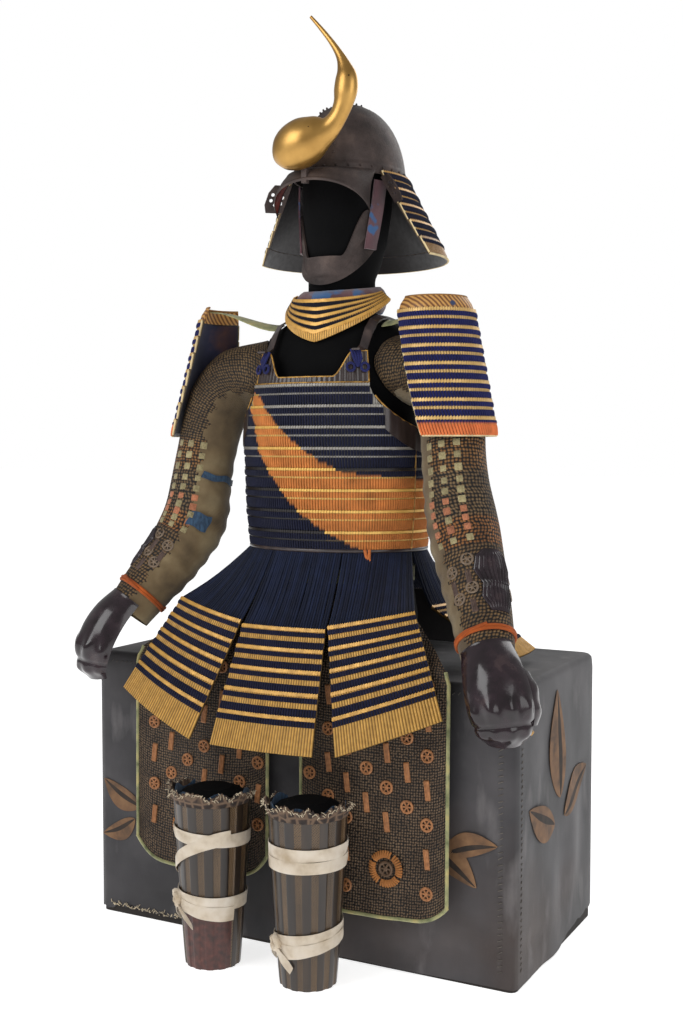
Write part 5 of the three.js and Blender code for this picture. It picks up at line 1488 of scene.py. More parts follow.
# Collar roll: a padded roll of the same wool that goes round the form's neck and lies on the throat
# guard's top edge. Its wool is worn and patched in blue.
COLLAR_ROWS = ((0, 9), (0.12, 15), (0.28, 20), (0.45, 22.4), (0.6, 22.3), (0.8, 19), (1, 13))
COLLAR_NECK = (60.3, 62.3, -14)  # inner radii across and deep, and the middle
COLLAR_TOPS = (1140, 1160)  # at the front and the back
COLLAR_FOOT = 1106
COLLAR_COLUMNS = 96
collar_out, collar_in = [], []
neck_across, neck_deep, neck_middle = COLLAR_NECK
for t, out in COLLAR_ROWS:
    outside, inside = [], []
    for c in range(COLLAR_COLUMNS):
        angle = 360 * c / COLLAR_COLUMNS
        turn = math.radians(angle)
        z = lerp(lerp(*COLLAR_TOPS, (1 - math.cos(turn)) / 2), COLLAR_FOOT, t)
        lump = 0.9 * math.sin(7 * turn + 5 * t) + 0.6 * math.sin(17 * turn - 3 * t) - 1
        outside.append(oval(neck_across + out + lump, neck_deep + out + lump, neck_middle, angle, z))
        inside.append(oval(neck_across, neck_deep, neck_middle, angle, z))
    collar_out.append(outside)
    collar_in.append(inside)
collar = piece("collar_wool", *shell(collar_out, collar_in, ring=True), felt, "wool", "collar_roll",
               sharp=70)

# Throat guard: five small gilt lames laced in near-black silk, hung round the front of the neck,
# the lowest one wide.
THROAT_REACH = 84
THROAT_HIGH = (83.4, 85.4, -14)
THROAT_LOW = (101, 105, -10)
THROAT_GOLD = hue(228, 176, 88)
THROAT_SILK = hue(20, 20, 34)
THROAT_LAMES = ((0, 0.18), (0.2, 0.36), (0.38, 0.54), (0.56, 0.72), (0.74, 1))


def throat_surface(u, t):
    angle = lerp(-THROAT_REACH, THROAT_REACH, u)
    share = min(abs(angle) / THROAT_REACH, 1.05)
    z = lerp(1122 + 16 * share ** 2, 1048 + 75 * share ** 1.3, t)
    a, b, y = (lerp(high, low, t) for high, low in zip(THROAT_HIGH, THROAT_LOW))
    return oval(a, b, y, angle, z)


throat_width = sum((throat_surface((i + 1) / 40, 0.6) - throat_surface(i / 40, 0.6)).length
                   for i in range(40))
laced("throat_lames", throat_surface, THROAT_LAMES[:-1], throat_width, ((0.42, 0.98, 3),),
      lambda u, t: THROAT_SILK,
      lambda u, t: THROAT_GOLD, "gold_lacquer", ["throat_guard"], scale=4.2, head=5, ledge=2, plate=2)
laced("throat_foot", throat_surface, THROAT_LAMES[-1:], throat_width, (), lambda u, t: THROAT_SILK,
      lambda u, t: THROAT_GOLD, "gold_lacquer", [], scale=4.2, head=5, rib=1.1, ledge=2, plate=2)

# Sleeves: cloth tubes faced with mail along the outside of the arm, set with small padded squares
# above the elbow and roundels below it. The cloth shows, gathered and stained, on the inside.
ARM_ROWS = (  # x, y, z, radius, and the angle by which a ring turns from facing sideways to facing down
    (152, -40, 1000, 60, 0), (197, -47, 988, 60, 33), (229, -59, 954, 57, 58), (242, -72, 906, 54, 74),
    (250, -84, 853, 52, None), (260, -95, 800, 53, None), (270, -104, 755, 56, None),
    (284, -114, 712, 57, None),
    (303, -131, 664, 54, None), (322, -151, 616, 51, None), (343, -177, 570, 46, None),
    (357, -197, 540, 42, None),
    (365, -207, 524, 40, None),
)
HAND_ROWS = (
    (357, -197, 540, 42, None), (373, -214, 512, 50, None), (386, -225, 482, 55, None),
    (395, -231, 452, 54, None),
    (399, -234, 428, 44, None), (398, -231, 412, 28, None),
)
ARMS = (("left", 1, 0, 0), ("right", -1, 26, 40))  # the wearer's right arm is drawn in and its hand lifted
ARM_OUT = Vector((0.85, -0.5, 0.15))
HAND_OUT = Vector((0.35, -0.93, 0.1))
MAIL_EDGE = 88  # degrees round the arm, either way, at which the mail gives way to cloth
SLEEVE_COLUMNS = 64
GATHERS = (0, 0.6, 0, 0, 0.8, 1.8, 2.2, 1.6, 0.6, 0, 0, 0, 0)
MAIL_ZONES = (  # place along the arm, and the mail's colour there
    (0, 0.75, 0.72, 0.7), (3.6, 0.75, 0.72, 0.7), (3.8, 1.15, 0.85, 0.58), (4.6, 1.15, 0.85, 0.58),
    (4.8, 0.72, 0.7, 0.7),
    (6.4, 0.72, 0.7, 0.7), (6.6, 1.35, 0.85, 0.5), (7.5, 1.35, 0.85, 0.5), (7.6, 0.85, 0.78, 0.72),
    (12, 0.85, 0.78, 0.68),
)


def arm_rows(rows, draw, lift):
    moved = []
    for x, y, z, r, lean in rows:
        moved.append((x - draw * ease(-z, -900, -640), y, z + lift * ease(-z, -760, -540), r, lean))
    return moved


def tube_frame(rows, place):
    """The middle, direction and radius of a tube at a place counted in rows."""
    last = len(rows) - 1
    i = min(int(place), last - 1)
    t = place - i

    def facing(k):
        if rows[k][4] is not None:
            lean = math.radians(rows[k][4])
            return Vector((math.cos(lean), -0.1, -math.sin(lean)))
        return (Vector(rows[min(k + 1, last)][:3]) - Vector(rows[max(k - 1, 0)][:3])).normalized()

    x, y, z, r = smooth([row[:4] for row in rows], place)
    return Vector((x, y, z)), facing(i).lerp(facing(i + 1), t).normalized(), r


def tube_point(rows, place, faces, degrees, out, side):
    """A point round a tube, its angle counted from the direction that it faces towards the front."""
    middle, way, r = tube_frame(rows, place)
    front = (faces - way * faces.dot(way)).normalized()
    turn = math.radians(degrees)
    p = middle + (front * math.cos(turn) + way.cross(front) * math.sin(turn)) * (r + out)
    return Vector((side * p.x, p.y, p.z))


def against_form(p, side):
    a, b, y = between(TORSO_ROWS, p.z)
    deep = (p.y - y) / b
    return Vector((side * (a * math.sqrt(max(1 - deep * deep, 0)) + 2.1), p.y, p.z))


def sleeve_gather(place, degrees, side):
    """How far the cloth stands out: even gathers over the elbow, deeper on the inside of the arm."""
    i = min(int(place), len(GATHERS) - 2)
    fullness = lerp(GATHERS[i], GATHERS[i + 1], place - i)
    inside = ease(degrees, 70, 110) if degrees > 0 else ease(-degrees, 70, 110)
    pleat = math.sin(9 * place + 0.8 * math.sin(math.radians(2 * degrees)) + side)
    slack = math.sin(math.radians(3 * degrees) + 1.7 * place)
    return fullness * (0.5 + 0.5 * slack) + inside * ease(place, 3,
                                                          5) * (1.3 * pleat - 0.6) * (1 - ease(place, 9,
                                                                  11))


sleeve_mail = mail_finish("sleeve_mail", hue(112, 90, 64), hue(160, 132, 94), 165.0)
sleeve_cloth = finish("sleeve_cloth", 0.92, Sheen_Weight=0.2)
threads = node(sleeve_cloth, "TexWave", {"wave_type": "BANDS", "bands_direction": "Y"}, Scale=210.0,
               Distortion=2.5,
               Vector=node(sleeve_cloth, "Attribute",
                           {"attribute_name": "weave"}).outputs["Vector"]).outputs[0]
dirt = grain(sleeve_cloth, 16, 5)
wear(sleeve_cloth, shades(sleeve_cloth, dirt, (0.28, hue(66, 52, 34)), (0.52, hue(108, 90, 62)),
                          (0.76, hue(142, 126, 94))),
     sums(sleeve_cloth, "ADD", sums(sleeve_cloth, "MULTIPLY", threads, 0.5), dirt), 0.0012, 0.6)

# A padded square, one unit across
PAD_ROWS = ((0.5, -0.1), (0.46, 0.1), (0.3, 0.2))
pad_rows = [[(r * x, r * y, z) for x, y in ((-1, -1), (0, -1.06), (1, -1), (1.06, 0), (1, 1), (0, 1.06),
                                            (-1, 1), (-1.06, 0))]
            for r, z in PAD_ROWS]
PAD_SHAPE = ([p for row in pad_rows for p in row],
             skin(pad_rows, ring=True) + [list(range(8)), list(range(16, 24))])
padding = finish("sewn_padding", 0.9, Sheen_Weight=0.2)
dye = node(padding, "Attribute", {"attribute_name": "dye"}).outputs["Color"]
frayed = grain(padding, 300, 3)
wear(padding, blend(padding, 1.0, dye, shades(padding, frayed, (0.3, (0.6, 0.58, 0.52, 1)),
                                              (0.7, (1.1, 1.1, 1.1, 1))), "MULTIPLY"),
     frayed, 0.0008, 0.6)

pads, arm_roundels, arm_bars = [], [], []
pad_tone = random.Random(11)
sleeve_shapes = {}
for label, side, draw, lift in ARMS:
    rows = arm_rows(ARM_ROWS, draw, lift)
    sleeve_shapes[label] = rows
    angles = [360 * c / SLEEVE_COLUMNS - 180 for c in range(SLEEVE_COLUMNS)]
    places = spread(0, 12, 121)
    grid = []
    for place in places:
        ring = [tube_point(rows, place, ARM_OUT, a, sleeve_gather(place, a, side), side) for a in angles]
        if place < 1:
            flush = 1 - ease(place, 0, 0.9)
            ring = [p.lerp(against_form(p, side), flush) for p in ring]
        grid.append(ring if side > 0 else ring[::-1])
    order = angles if side > 0 else angles[::-1]

    def zone(r, c):
        faced = abs(order[c]) < MAIL_EDGE + 5 * math.sin(0.9 * r)
        return tuple(between(MAIL_ZONES, places[r])) + (1 if faced else 0,)

    sleeve = clothed("sleeve_cloth_" + label, grid, CANVAS_THICKNESS, True, sleeve_mail, "mail",
                     ["sleeve_" + label], zone)
    sleeve.data.materials.append(sleeve_cloth)
    faced = sleeve.data.attributes["dye"].data
    for face in sleeve.data.polygons:
        face.material_index = 0 if all(faced[i].color[3] > 0.5 for i in face.vertices) else 1
    length = sum((Vector(rows[i + 1][:3]) - Vector(rows[i][:3])).length for i in range(12)) * MM

    def on_arm(place, degrees, out):
        """A place on the sleeve with its outward and sideways directions."""
        p = tube_point(rows, place, ARM_OUT, degrees, out, side)
        outward = (tube_point(rows, place, ARM_OUT, degrees, out + 5, side) - p).normalized()
        along = (tube_point(rows, place + 0.05, ARM_OUT, degrees, out, side) - p).normalized()
        return p, outward, along.cross(outward)

    for j in range(10):
        place = 3.85 + 0.385 * j
        for degrees in (85, 58, 31):
            p, outward, across = on_arm(place, degrees, sleeve_gather(place, degrees, side) + 0.5)
            shade = pad_tone.uniform(0.8, 1.15)
            orange = 5 <= j <= 8 and pad_tone.random() < 0.85
            colour = hue(176, 112, 80) if orange else hue(158, 146, 108)
            size = pad_tone.uniform(11, 13.5)
            pads.append((p, outward, across, (size, size, 15), tuple(c * shade for c in colour[:3]) + (1,)))
    for place, degrees, kind in ((8.0, 44, 0), (8.5, 48, 1), (8.95, 46, 0), (9.45, 50, 1), (8.1, 4, 0),
                                 (8.3, 76, 0),
                                 (8.75, 78, 1), (9.2, 74, 0), (9.0, -50, 0), (8.4, -54, 1)):
        p, outward, across = on_arm(place, degrees, 1)
        if kind:
            arm_bars.append((p, outward, across, (10, 30, 10), hue(84, 64, 56)))
        else:
            arm_roundels.append((p, outward, across, (22, 22, 20), hue(124, 106, 88)))
set_out("sleeve_squares", PAD_SHAPE, pads, padding, "brocade")
set_out("sleeve_roundels", ROUNDEL_SHAPE, arm_roundels, hide_ornament, "russet_iron")
set_out("sleeve_bars", BAR_SHAPE, arm_bars, hide_ornament, "splint_leather")

# Forearm, hand and thumb plates: hide moulded over forms and lacquered purple-black, ribbed on the
# forearm and raised over the knuckles, sewn to the sleeve and its hand flap.
FOREARM_ROWS = ((7.75, 15), (7.95, 30), (8.4, 38), (8.9, 27), (9.3, 33), (9.75, 20))
HAND_REACH = 62
THUMB_ROWS = ((1.4, -100), (2, -108), (3, -106), (3.7, -98))
THUMB_EDGE = -62.8

black_lacquer = finish("purple_black_lacquer", 0.22, Coat_Weight=0.35, Coat_Roughness=0.08,
                       Specular_IOR_Level=0.35)
craze = grain(black_lacquer, 34, 5)
wear(black_lacquer, shades(black_lacquer, craze, (0.3, hue(24, 17, 20)), (0.6, hue(42, 30, 36)),
                           (0.85, hue(74, 58, 58))),
     grain(black_lacquer, 130, 3), 0.0006, 0.35,
     shades(black_lacquer, craze, (0.3, (0.12,) * 3 + (1,)), (0.8, (0.34,) * 3 + (1,))))


def moulded(rows, faces, side, base, places, arcs, columns, relief):
    """A shell over part of a tube, its arc's ends given for each place."""
    grids = []
    for outer in (True, False):
        grid = []
        for place in places:
            start, end = arcs(place)
            line = [tube_point(rows, place, faces, lerp(start, end, w),
                               base + (PLATE + relief(place, w) if outer else 0), side)
                               for w in spread(0, 1, columns)]
            grid.append(line)
        grids.append(grid)
    return shell(*grids)


def forearm_relief(place, w):
    ribs = 1.7 * abs(math.sin(math.pi * w * 9)) * ease(place, 7.8, 8.0) * (1 - ease(place, 9.5, 9.7))
    waist = 1.6 * math.exp(-(((place - 8.9) / 0.06) ** 2))
    return ribs + waist


def knuckles(place, w):
    fingers = math.sin(math.pi * w * 4) ** 2
    first = 5 * math.exp(-(((place - 2.9) / 0.45) ** 2)) * fingers
    second = 4.5 * math.exp(-(((place - 4.1) / 0.3) ** 2)) * (0.35 + 0.65 * fingers)
    groove = 3 * math.exp(-(((place - 3.55) / 0.12) ** 2))
    cuff = 1.2 * (1 - ease(place, 0, 0.12))
    return first + second - groove + cuff


def thumb_relief(place, w):
    return 3.2 * math.sin(math.pi * w) * ease(place, 1.4, 2) * (1 + 0.35 * math.cos(6 * place))


finger_rings = []
for label, side, draw, lift in ARMS:
    rows = sleeve_shapes[label]
    hand = arm_rows(HAND_ROWS, draw, lift)
    piece("forearm_hide_" + label, *moulded(rows, ARM_OUT, side, 1.7, spread(7.75, 9.75, 41),
          lambda place: [k * between(FOREARM_ROWS, place)[0] for k in (-1, 1)], 73, forearm_relief),
          black_lacquer, "brown_lacquer", "forearm_plate_" + label, sharp=60)
    piece("hand_hide_" + label, *moulded(hand, HAND_OUT, side, 0.7, spread(0, 5, 61),
                                         lambda place: (-HAND_REACH, HAND_REACH),
          65, knuckles), black_lacquer, "brown_lacquer", "hand_plate_" + label, sharp=60)
    piece("thumb_hide_" + label, *moulded(hand, HAND_OUT, side, 0.7, spread(1.4, 3.7, 31),
          lambda place: (between(THUMB_ROWS, place)[0], THUMB_EDGE), 25, thumb_relief),
          black_lacquer, "brown_lacquer", "thumb_plate_" + label, sharp=60)
    tip = tube_point(hand, 4.0, HAND_OUT, -84, -4, side)
    way = (tube_point(hand, 4.3, HAND_OUT, -84, -4, side) - tip).normalized()
    cross = way.cross(Vector((0, 1, 0))).normalized()
    for k in range(3):
        loop = [tip + way * (2.2 * k) + (cross * math.cos(a) + way.cross(cross) * math.sin(a)) * 6.5
                for a in spread(0, 6.283, 17)]
        finger_rings.append((loop, hue(200, 150, 70)))
cords("finger_rings", finger_rings, 1.4, gilt_rim, "gold_lacquer")

# Wrist cords: an orange silk cord wound twice round each cuff and tied, and the torn blue ribbon
# and patch on the wearer's right sleeve.
WIND_STEPS = 72
WIND_DEGREES = 10  # in each step
WIND_PLACES = (10.24, 10.46)  # along the sleeve, from its first row to its last
WIND_STAND = 3.4
WIND_ORANGE = hue(172, 84, 34)
KNOT_PLACE = 10.35
KNOT_ANGLE = 60
KNOT_STAND = 5.2
KNOT_ORANGE = hue(160, 78, 34)
WRIST_CORD_RADIUS = 3.0
wrists = []
for label, side, draw, lift in ARMS:
    rows = sleeve_shapes[label]
    coil = []
    for k in range(WIND_STEPS + 1):
        turn = WIND_DEGREES * k - 180
        coil.append(tube_point(rows, lerp(*WIND_PLACES, k / WIND_STEPS), ARM_OUT, turn, WIND_STAND, side))
    wrists.append((coil, WIND_ORANGE))
    for lean in (-1, 1):
        end = []
        for t in spread(0, 1, 6):
            turn = KNOT_ANGLE + 26 * lean * t
            end.append(tube_point(rows, KNOT_PLACE + 0.1 * lean * t, ARM_OUT, turn, KNOT_STAND, side))
        wrists.append((end, KNOT_ORANGE))
wrist_cords = cords("wrist_silk", wrists, WRIST_CORD_RADIUS, laced_silk, "orange_silk", sides=8)
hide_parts("wrist_cord_left", "wrist_cord_right")
indigo = finish("indigo_cotton", 0.92, Sheen_Weight=0.2)
slub = grain(indigo, 260, 4, (1, 1, 0.4))
wear(indigo, shades(indigo, slub, (0.3, hue(24, 40, 60)), (0.7, hue(54, 82, 108))), slub, 0.0008, 0.6)
right = sleeve_shapes["right"]


def patch_grid(first, last, low, high, out, wave):
    grid = []
    for place in spread(first, last, 15):
        row = []
        for w, degrees in zip(spread(0, 1, 17), spread(high, low, 17)):
            along = place + 0.04 * math.sin(wave * w)
            turn = degrees + 2 * math.sin(wave * place)
            row.append(tube_point(right, along, ARM_OUT, turn, out + 0.8 * math.sin(5 * w + place), -1))
        grid.append(row)
    return grid


blue_patch = clothed("blue_patch", patch_grid(6.35, 7.05, 84, 122, 3.6, 7), 0.8, False, indigo, "cotton",
                     [])
blue_ribbon = clothed("blue_ribbon", patch_grid(4.75, 4.98, 92, 176, 4.2, 11), 0.8, False, indigo,
                      "cotton", [])

# Guard ties: flat bands of pale brocade that hold up the shoulder guards. Each one runs from the form's
# shoulder out to the crown plate of its guard.
for label in ("left", "right"):
    name = "guard_tie_" + label
    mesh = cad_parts[name].data.copy()
    shape = bmesh.new()
    shape.from_mesh(mesh)
    bmesh.ops.remove_doubles(shape, verts=shape.verts, dist=1e-5)
    shape.to_mesh(mesh)
    shape.free()
    mesh.materials.clear()
    mesh.materials.append(brocade)
    mesh.shade_smooth()
    tie = bpy.data.objects.new("brocade_tie_" + label, mesh)
    bpy.context.collection.objects.link(tie)
    subdivided = tie.modifiers.new("soften", "SUBSURF")
    subdivided.levels = subdivided.render_levels = 2
    subdivided.subdivision_type = "SIMPLE"
    fix(tie, "brocade", name)

# Shin guards: upright lacquered splints joined by chain on a cloth backing, each standing round a
# plain post. The wearer's right one is patched below with red-brown leather.
SHIN_X = 92
SHIN_Y = -306
SHIN_HEIGHT = 276
SHIN_REACH = 118
SHIN_SPLINTS = 9
SHIN_COLUMNS = 145
SHIN_ROWS = 40
SHIN_FOOT = 45  # radius at the floor
SHIN_KNEE = 63  # radius at the top
SHIN_SWELL = 0.85
SPLINT_STAND = 1.6
PATCH_TOP = 96
PATCH_ENDS = (-70, 34)


def shin_point(side, degrees, z, out):
    """A point round a shin guard, its angle counted from the front towards the wearer's left."""
    r = lerp(SHIN_FOOT, SHIN_KNEE, min(max(z / SHIN_HEIGHT, 0), 1.2) ** SHIN_SWELL) + out
    p = oval(r, r, SHIN_Y, side * degrees, z)
    return Vector((p.x + side * SHIN_X, p.y, p.z))


def splint(degrees):
    """From 0 in the chain between two splints to 1 on a splint's back."""
    share = ((degrees + SHIN_REACH) / (2 * SHIN_REACH) * SHIN_SPLINTS) % 1
    return 1 - ease(abs(share - 0.5), 0.24, 0.34)


splint_hide = finish("splint_hide", 0.5, Coat_Weight=0.15)
dye = node(splint_hide, "Attribute", {"attribute_name": "dye"}).outputs["Color"]
place = node(splint_hide, "Attribute", {"attribute_name": "weave"}).outputs["Vector"]
links = node(splint_hide, "TexVoronoi", {"feature": "F1", "voronoi_dimensions": "2D"}, Scale=230.0,
             Randomness=0.15,
             Vector=place).outputs[0]
# Partly pattern and partly painted light: the chain links are drawn as rings with a painted highlight at
# 1.5 times the dye, and their holes and the gaps between them are painted dark as shade.
chain = shades(splint_hide, links, (0.12, (0.25, 0.25, 0.25, 1)), (0.34, (1.5, 1.4, 1.25, 1)),
               (0.62, (0.35, 0.35, 0.35, 1)))
rubbed = shades(splint_hide, grain(splint_hide, 26, 5, (1, 1, 0.3)), (0.3, (0.6, 0.58, 0.56, 1)),
                (0.72, (1.3, 1.25, 1.15, 1)))
wear(splint_hide, blend(splint_hide, 1.0, blend(splint_hide, 1.0, dye, rubbed, "MULTIPLY"), chain,
                        "MULTIPLY"), links, 0.0009, 0.6)
plain_hide = finish("red_leather", 0.5, Coat_Weight=0.2)
cracks = grain(plain_hide, 90, 5)
wear(plain_hide, shades(plain_hide, cracks, (0.3, hue(46, 24, 20)), (0.6, hue(82, 40, 32)),
                        (0.85, hue(116, 70, 56))), cracks,
     0.0006, 0.5)
lacquered_splint = finish("lacquered_splint", 0.4, Coat_Weight=0.25)
streaks = grain(lacquered_splint, 34, 5, (1, 1, 0.12))
wear(lacquered_splint, shades(lacquered_splint, streaks, (0.3, hue(25, 18, 14)), (0.55, hue(44, 33, 24)),
                              (0.8, hue(72, 55, 38))),
     streaks, 0.0005, 0.4)

CHAIN_BROWN = hue(88, 72, 54)
shin_angles = spread(-SHIN_REACH, SHIN_REACH, SHIN_COLUMNS)
shin_levels = spread(SHIN_HEIGHT, 0, SHIN_ROWS)
for side, label in ((1, "left"), (-1, "right")):
    order = shin_angles if side > 0 else shin_angles[::-1]
    grid = [[shin_point(side, a, z, SPLINT_STAND * splint(a)) for a in order] for z in shin_levels]
    guard = clothed("shin_splints_" + label, grid, PLATE + 1, False, splint_hide, "splint_leather",
                    ["shin_guard_" + label],
                    lambda r, c: CHAIN_BROWN)
    guard.data.materials.append(lacquered_splint)
    guard.data.materials.append(plain_hide)
    columns = len(order)
    for face in guard.data.polygons:
        spot = face.vertices[0] % (columns * len(shin_levels))
        angle, z = order[spot % columns], shin_levels[spot // columns]
        patched = side < 0 and z < PATCH_TOP and PATCH_ENDS[0] < angle < PATCH_ENDS[1]
        face.material_index = 2 if patched else 1 if splint(angle) > 0.5 else 0
    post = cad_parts["shin_post_" + label]
    post.data.materials.clear()
    post.data.materials.append(form_cloth)

# Knee flaps: the torn tops of the shin guards, hide hexagons quilted between two cloths, frayed to
# cream threads along the tear, with a rim of indigo lining behind.
RAGS = (10, 20, 13, 24, 17, 26, 15, 22, 28, 18, 25, 14, 21, 27, 16, 22, 11)
FLAP_COLUMNS = 129
quilt = finish("torn_quilt", 0.85)
hexes = node(quilt, "TexVoronoi", {"feature": "DISTANCE_TO_EDGE"}, Scale=62.0, Randomness=0.35,
             Vector=node(quilt, "TexCoord").outputs["Object"]).outputs[0]
cells = shades(quilt, hexes, (0.06, hue(104, 84, 68)), (0.16, hue(48, 37, 32)), (0.5, hue(30, 24, 23)))
wear(quilt, blend(quilt, shades(quilt, grain(quilt, 60, 4), (0.5, (0, 0, 0, 1)),
                                (0.72, (0.8, 0.8, 0.8, 1))), cells, hue(96, 76, 60)),
     hexes, 0.003, 0.7)
frays = []
fray = random.Random(5)
for side, label in ((1, "left"), (-1, "right")):
    fine = spread(-SHIN_REACH, SHIN_REACH, FLAP_COLUMNS)
    tops = []
    for i, angle in enumerate(fine):
        k = i / (FLAP_COLUMNS - 1) * (len(RAGS) - 1)
        tops.append(lerp(RAGS[int(k)], RAGS[min(int(k) + 1, len(RAGS) - 1)], k % 1) + fray.uniform(-2.5,
                2.5))
    pairs = list(zip(fine, tops)) if side > 0 else list(zip(fine, tops))[::-1]
    grid = [[shin_point(side, a, SHIN_HEIGHT + 0.3 + t * top,
                        2 + 6.2 * t + 0.9 * math.sin(a / 4 + 3 * t)) for a, top in pairs]
            for t in spread(1, 0, 9)]
    flap = clothed("knee_quilt_" + label, grid, 2.4, False, quilt, "splint_leather", ["knee_flap_" + label])
    for angle, top in pairs[::2]:
        base = shin_point(side, angle, SHIN_HEIGHT + top * 0.92, 8.4)
        for k in range(2):
            bend = Vector((fray.uniform(-6, 6), fray.uniform(-5, 3), fray.uniform(-5, 5)))
            frays.append(([base, base + bend * 0.5 + Vector((0, 0, 1)), base + bend], hue(212, 196, 170)))
    lining = [[shin_point(side, a, SHIN_HEIGHT - 8 + t * (26 + 6 * math.sin(a / 9)),
                          -2.4 + 0.8 * math.sin(a / 7)) for a, top in pairs]
              for t in spread(1, 0, 6)]
    behind = clothed("knee_lining_" + label, lining, 0.5, False, indigo, "cotton", [])
cords("frayed_threads", frays, 0.6, laced_silk, "cotton", sides=4)

# Shin ties: flat bands of off-white cotton, soiled and creased, wound round each guard. Each pair is
# knotted at the front, with its two ends hanging.
BAND_WIDE = 22
cotton = finish("cotton_band", 0.95, Sheen_Weight=0.15)
weft = node(cotton, "TexWave", {"wave_type": "BANDS", "bands_direction": "Y"}, Scale=330.0, Distortion=1.0,
            Vector=node(cotton, "Attribute", {"attribute_name": "weave"}).outputs["Vector"]).outputs[0]
grime = grain(cotton, 30, 5)
wear(cotton, shades(cotton, grime, (0.25, hue(172, 152, 124)), (0.5, hue(212, 198, 178)),
                    (0.75, hue(228, 218, 204))),
     sums(cotton, "ADD", sums(cotton, "MULTIPLY", weft, 0.5), grime), 0.0007, 0.6)
WINDINGS = (  # guard, height at each end of the winding, angles, and how far out
    ("right", 216, 232, -178, 182, 3.4), ("right", 226, 126, -60, 150, 4.6),
    ("right", 110, 124, -182, 178, 3.4),
    ("right", 96, 118, -70, 120, 4.8), ("left", 222, 226, -182, 178, 3.4),
    ("left", 202, 206, -182, 178, 4.2),
    ("left", 66, 98, -180, 180, 3.4), ("left", 62, 84, -40, 130, 4.8),
)


def band_grid(side, low, high, start, end, out):
    """A flat band wound round a guard, its edges curling in and its middle soft."""
    grid = []
    for w in spread(0.5, -0.5, 7):
        row = []
        for t in spread(0, 1, 90):
            angle = lerp(start, end, t)
            z = lerp(low, high, 0.5 - 0.5 * math.cos(math.pi * t)) + BAND_WIDE * w + 1.2 * math.sin(5 * t
                    + 3 * w)
            row.append(shin_point(side, angle, z, out + 1.2 - 2.6 * w * w + 0.5 * math.sin(31 * t + 4 * w)))
        grid.append(row if side > 0 else row[::-1])
    return grid


tied = {"left": [], "right": []}
for k, (label, low, high, start, end, out) in enumerate(WINDINGS):
    side = 1 if label == "left" else -1
    winding = clothed("cotton_winding_%d" % k, band_grid(side, low, high, start, end, out), 0.9, False,
                      cotton, "cotton", [])
    turn = math.radians(abs(end - start)) * lerp(SHIN_FOOT, SHIN_KNEE,
                                                 (low / SHIN_HEIGHT) ** SHIN_SWELL) * MM
    tied[label].append(winding)
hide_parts("shin_tie_upper_left", "shin_tie_lower_left")
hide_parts("shin_tie_upper_right", "shin_tie_lower_right")
KNOTS = (("right", 44, 112, (-40, 30)), ("left", -34, 72, (-46, 34)))
knot_lines = []
for label, angle, z, ends in KNOTS:
    side = 1 if label == "left" else -1
    for twist in (0, 1, 2):
        loop = [shin_point(side, angle + 9 * math.cos(a + twist * 2.1),
                           z + 9 * math.sin(a + twist * 2.1) + 2 * twist,
                           7 + 3 * math.sin(2 * a + twist)) for a in spread(0, 2 * math.pi, 20)]
        knot_lines.append((loop, WHITE))
    for k, swing in enumerate(ends):
        grid = []
        for w in spread(-1, 1, 5):
            grid.append([shin_point(side, angle + swing * t + 4 * w * (1 - 0.4 * t),
                                    z - 3 - 34 * t ** 1.3 + 5 * w,
                                    7.5 + 3 * math.sin(4 * t + w)) for t in spread(0, 1, 22)])
        tail = clothed("cotton_end_%s_%d" % (label, k), grid, 0.9, False, cotton, "cotton", [])
cords("cotton_knots", knot_lines, 4.6, cotton, "cotton", sides=8)

# Trims of the trunk's cover: brown sprigs of leaves painted on the front and on one end, waxed thread
# along the corner seams and under the top edge, and loose threads along the torn hem.
LEAF = 46  # points round a leaf's edge
SPRIGS = (  # side of the trunk, share along it, height, turn in degrees, length and width
    (0, 0.785, 258, 62, 150, 58), (0, 0.80, 236, -34, 132, 52), (0, 0.86, 210, 14, 100, 40),
    (1, 0.50, 268, 96, 190, 76), (1, 0.56, 232, 24, 150, 60), (1, 0.44, 226, 158, 150, 60),
    (0, 0.10, 205, 152, 96, 42), (0, 0.085, 182, 205, 84, 36),
)
sprig_paint = finish("brown_paint", 0.7)
rubbed = grain(sprig_paint, 40, 5)
wear(sprig_paint, shades(sprig_paint, rubbed, (0.3, hue(74, 54, 38)), (0.55, hue(112, 80, 52)),
                         (0.8, hue(134, 100, 66))), rubbed,
     0.0004, 0.5)
rib_paint = finish("dark_paint", 0.8)
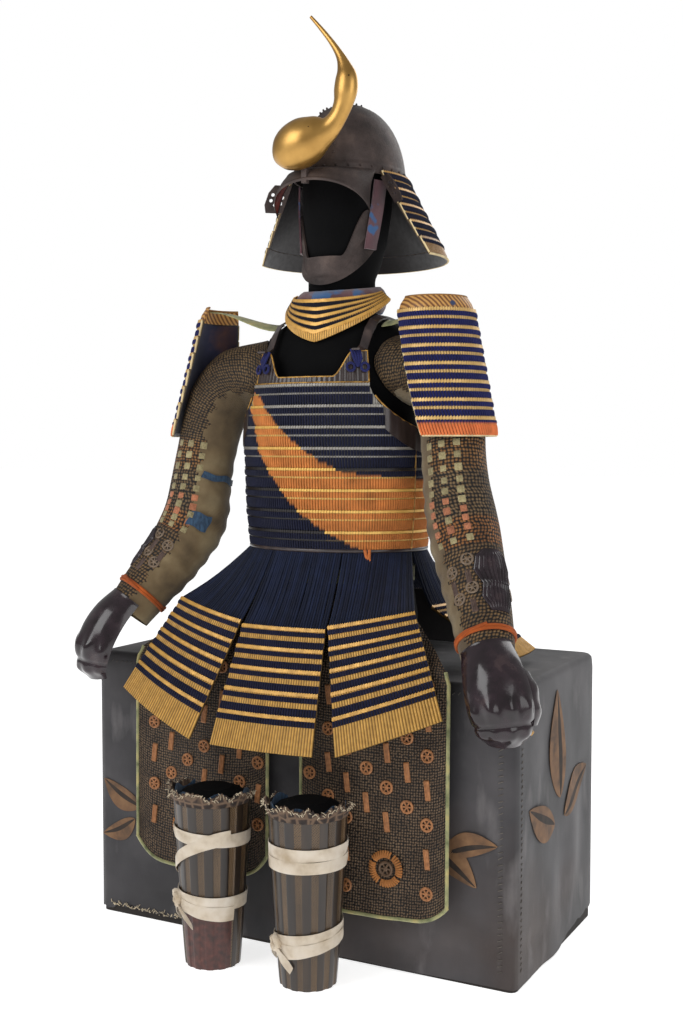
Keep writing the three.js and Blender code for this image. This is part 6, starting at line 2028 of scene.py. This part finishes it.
wear(rib_paint, shades(rib_paint, grain(rib_paint, 60, 4), (0.3, hue(30, 24, 20)), (0.7, hue(52, 40, 32))))
for k, (side, share, height, turn, length, width) in enumerate(SPRIGS):
    run = TRUNK_LENGTH if side % 2 == 0 else TRUNK_WIDTH
    way = math.radians(turn)
    rows = []
    for t in spread(0, 1, LEAF):
        half = width / 2 * math.sin(math.pi * t ** 0.85) ** 0.8
        row = []
        for w in (-1, -0.5, -0.06, 0.06, 0.5, 1):
            along = length * t
            aside = half * w + 9 * math.sin(math.pi * t)
            shift = along * math.cos(way) - aside * math.sin(way)
            row.append(canvas_point(side, share + shift / run,
                                    height + along * math.sin(way) + aside * math.cos(way), -2.4))
        rows.append(row)
    under = [[p + (canvas_point(side, share, height, 0.3) - canvas_point(side, share, height, -0.3))
              for p in row] for row in rows]
    leaf = piece("painted_leaf_%d" % k, *shell(rows, under), sprig_paint, "canvas")
    leaf.data.materials.append(rib_paint)
    for face in leaf.data.polygons:
        face.material_index = 1 if all(i % 6 in (2, 3) for i in face.vertices) else 0
stitches = []
needle = random.Random(8)
for k in range(44):
    z = 30 + 10.2 * k
    for side, share in ((0, 0.985), (1, 0.02)):
        stitches.append(([canvas_point(side, share - 0.006, z, -0.7),
                          canvas_point(side, share + 0.004, z + needle.uniform(2, 5), -1.1)],
                         hue(104, 98, 92)))
for k in range(74):
    share = 0.02 + 0.013 * k
    stitches.append(([canvas_point(0, share, 470, -0.8),
                      canvas_point(0, share + 0.006, 474 + needle.uniform(-1, 2), -1.1)],
                     hue(96, 92, 88)))
for k in range(70):
    share = 0.015 + 0.003 * k + needle.uniform(-0.002, 0.002)
    foot = canvas_point(0, share, 15 + needle.uniform(-3, 3), -0.8)
    drift = Vector((needle.uniform(-7, 7), needle.uniform(-4, 0), needle.uniform(-1, 7)))
    stitches.append(([foot, foot + drift * 0.6 + Vector((0, -1, 0)), foot + drift], hue(206, 190, 164)))
cords("cover_threads", stitches, 0.75, laced_silk, "cotton", sides=4)
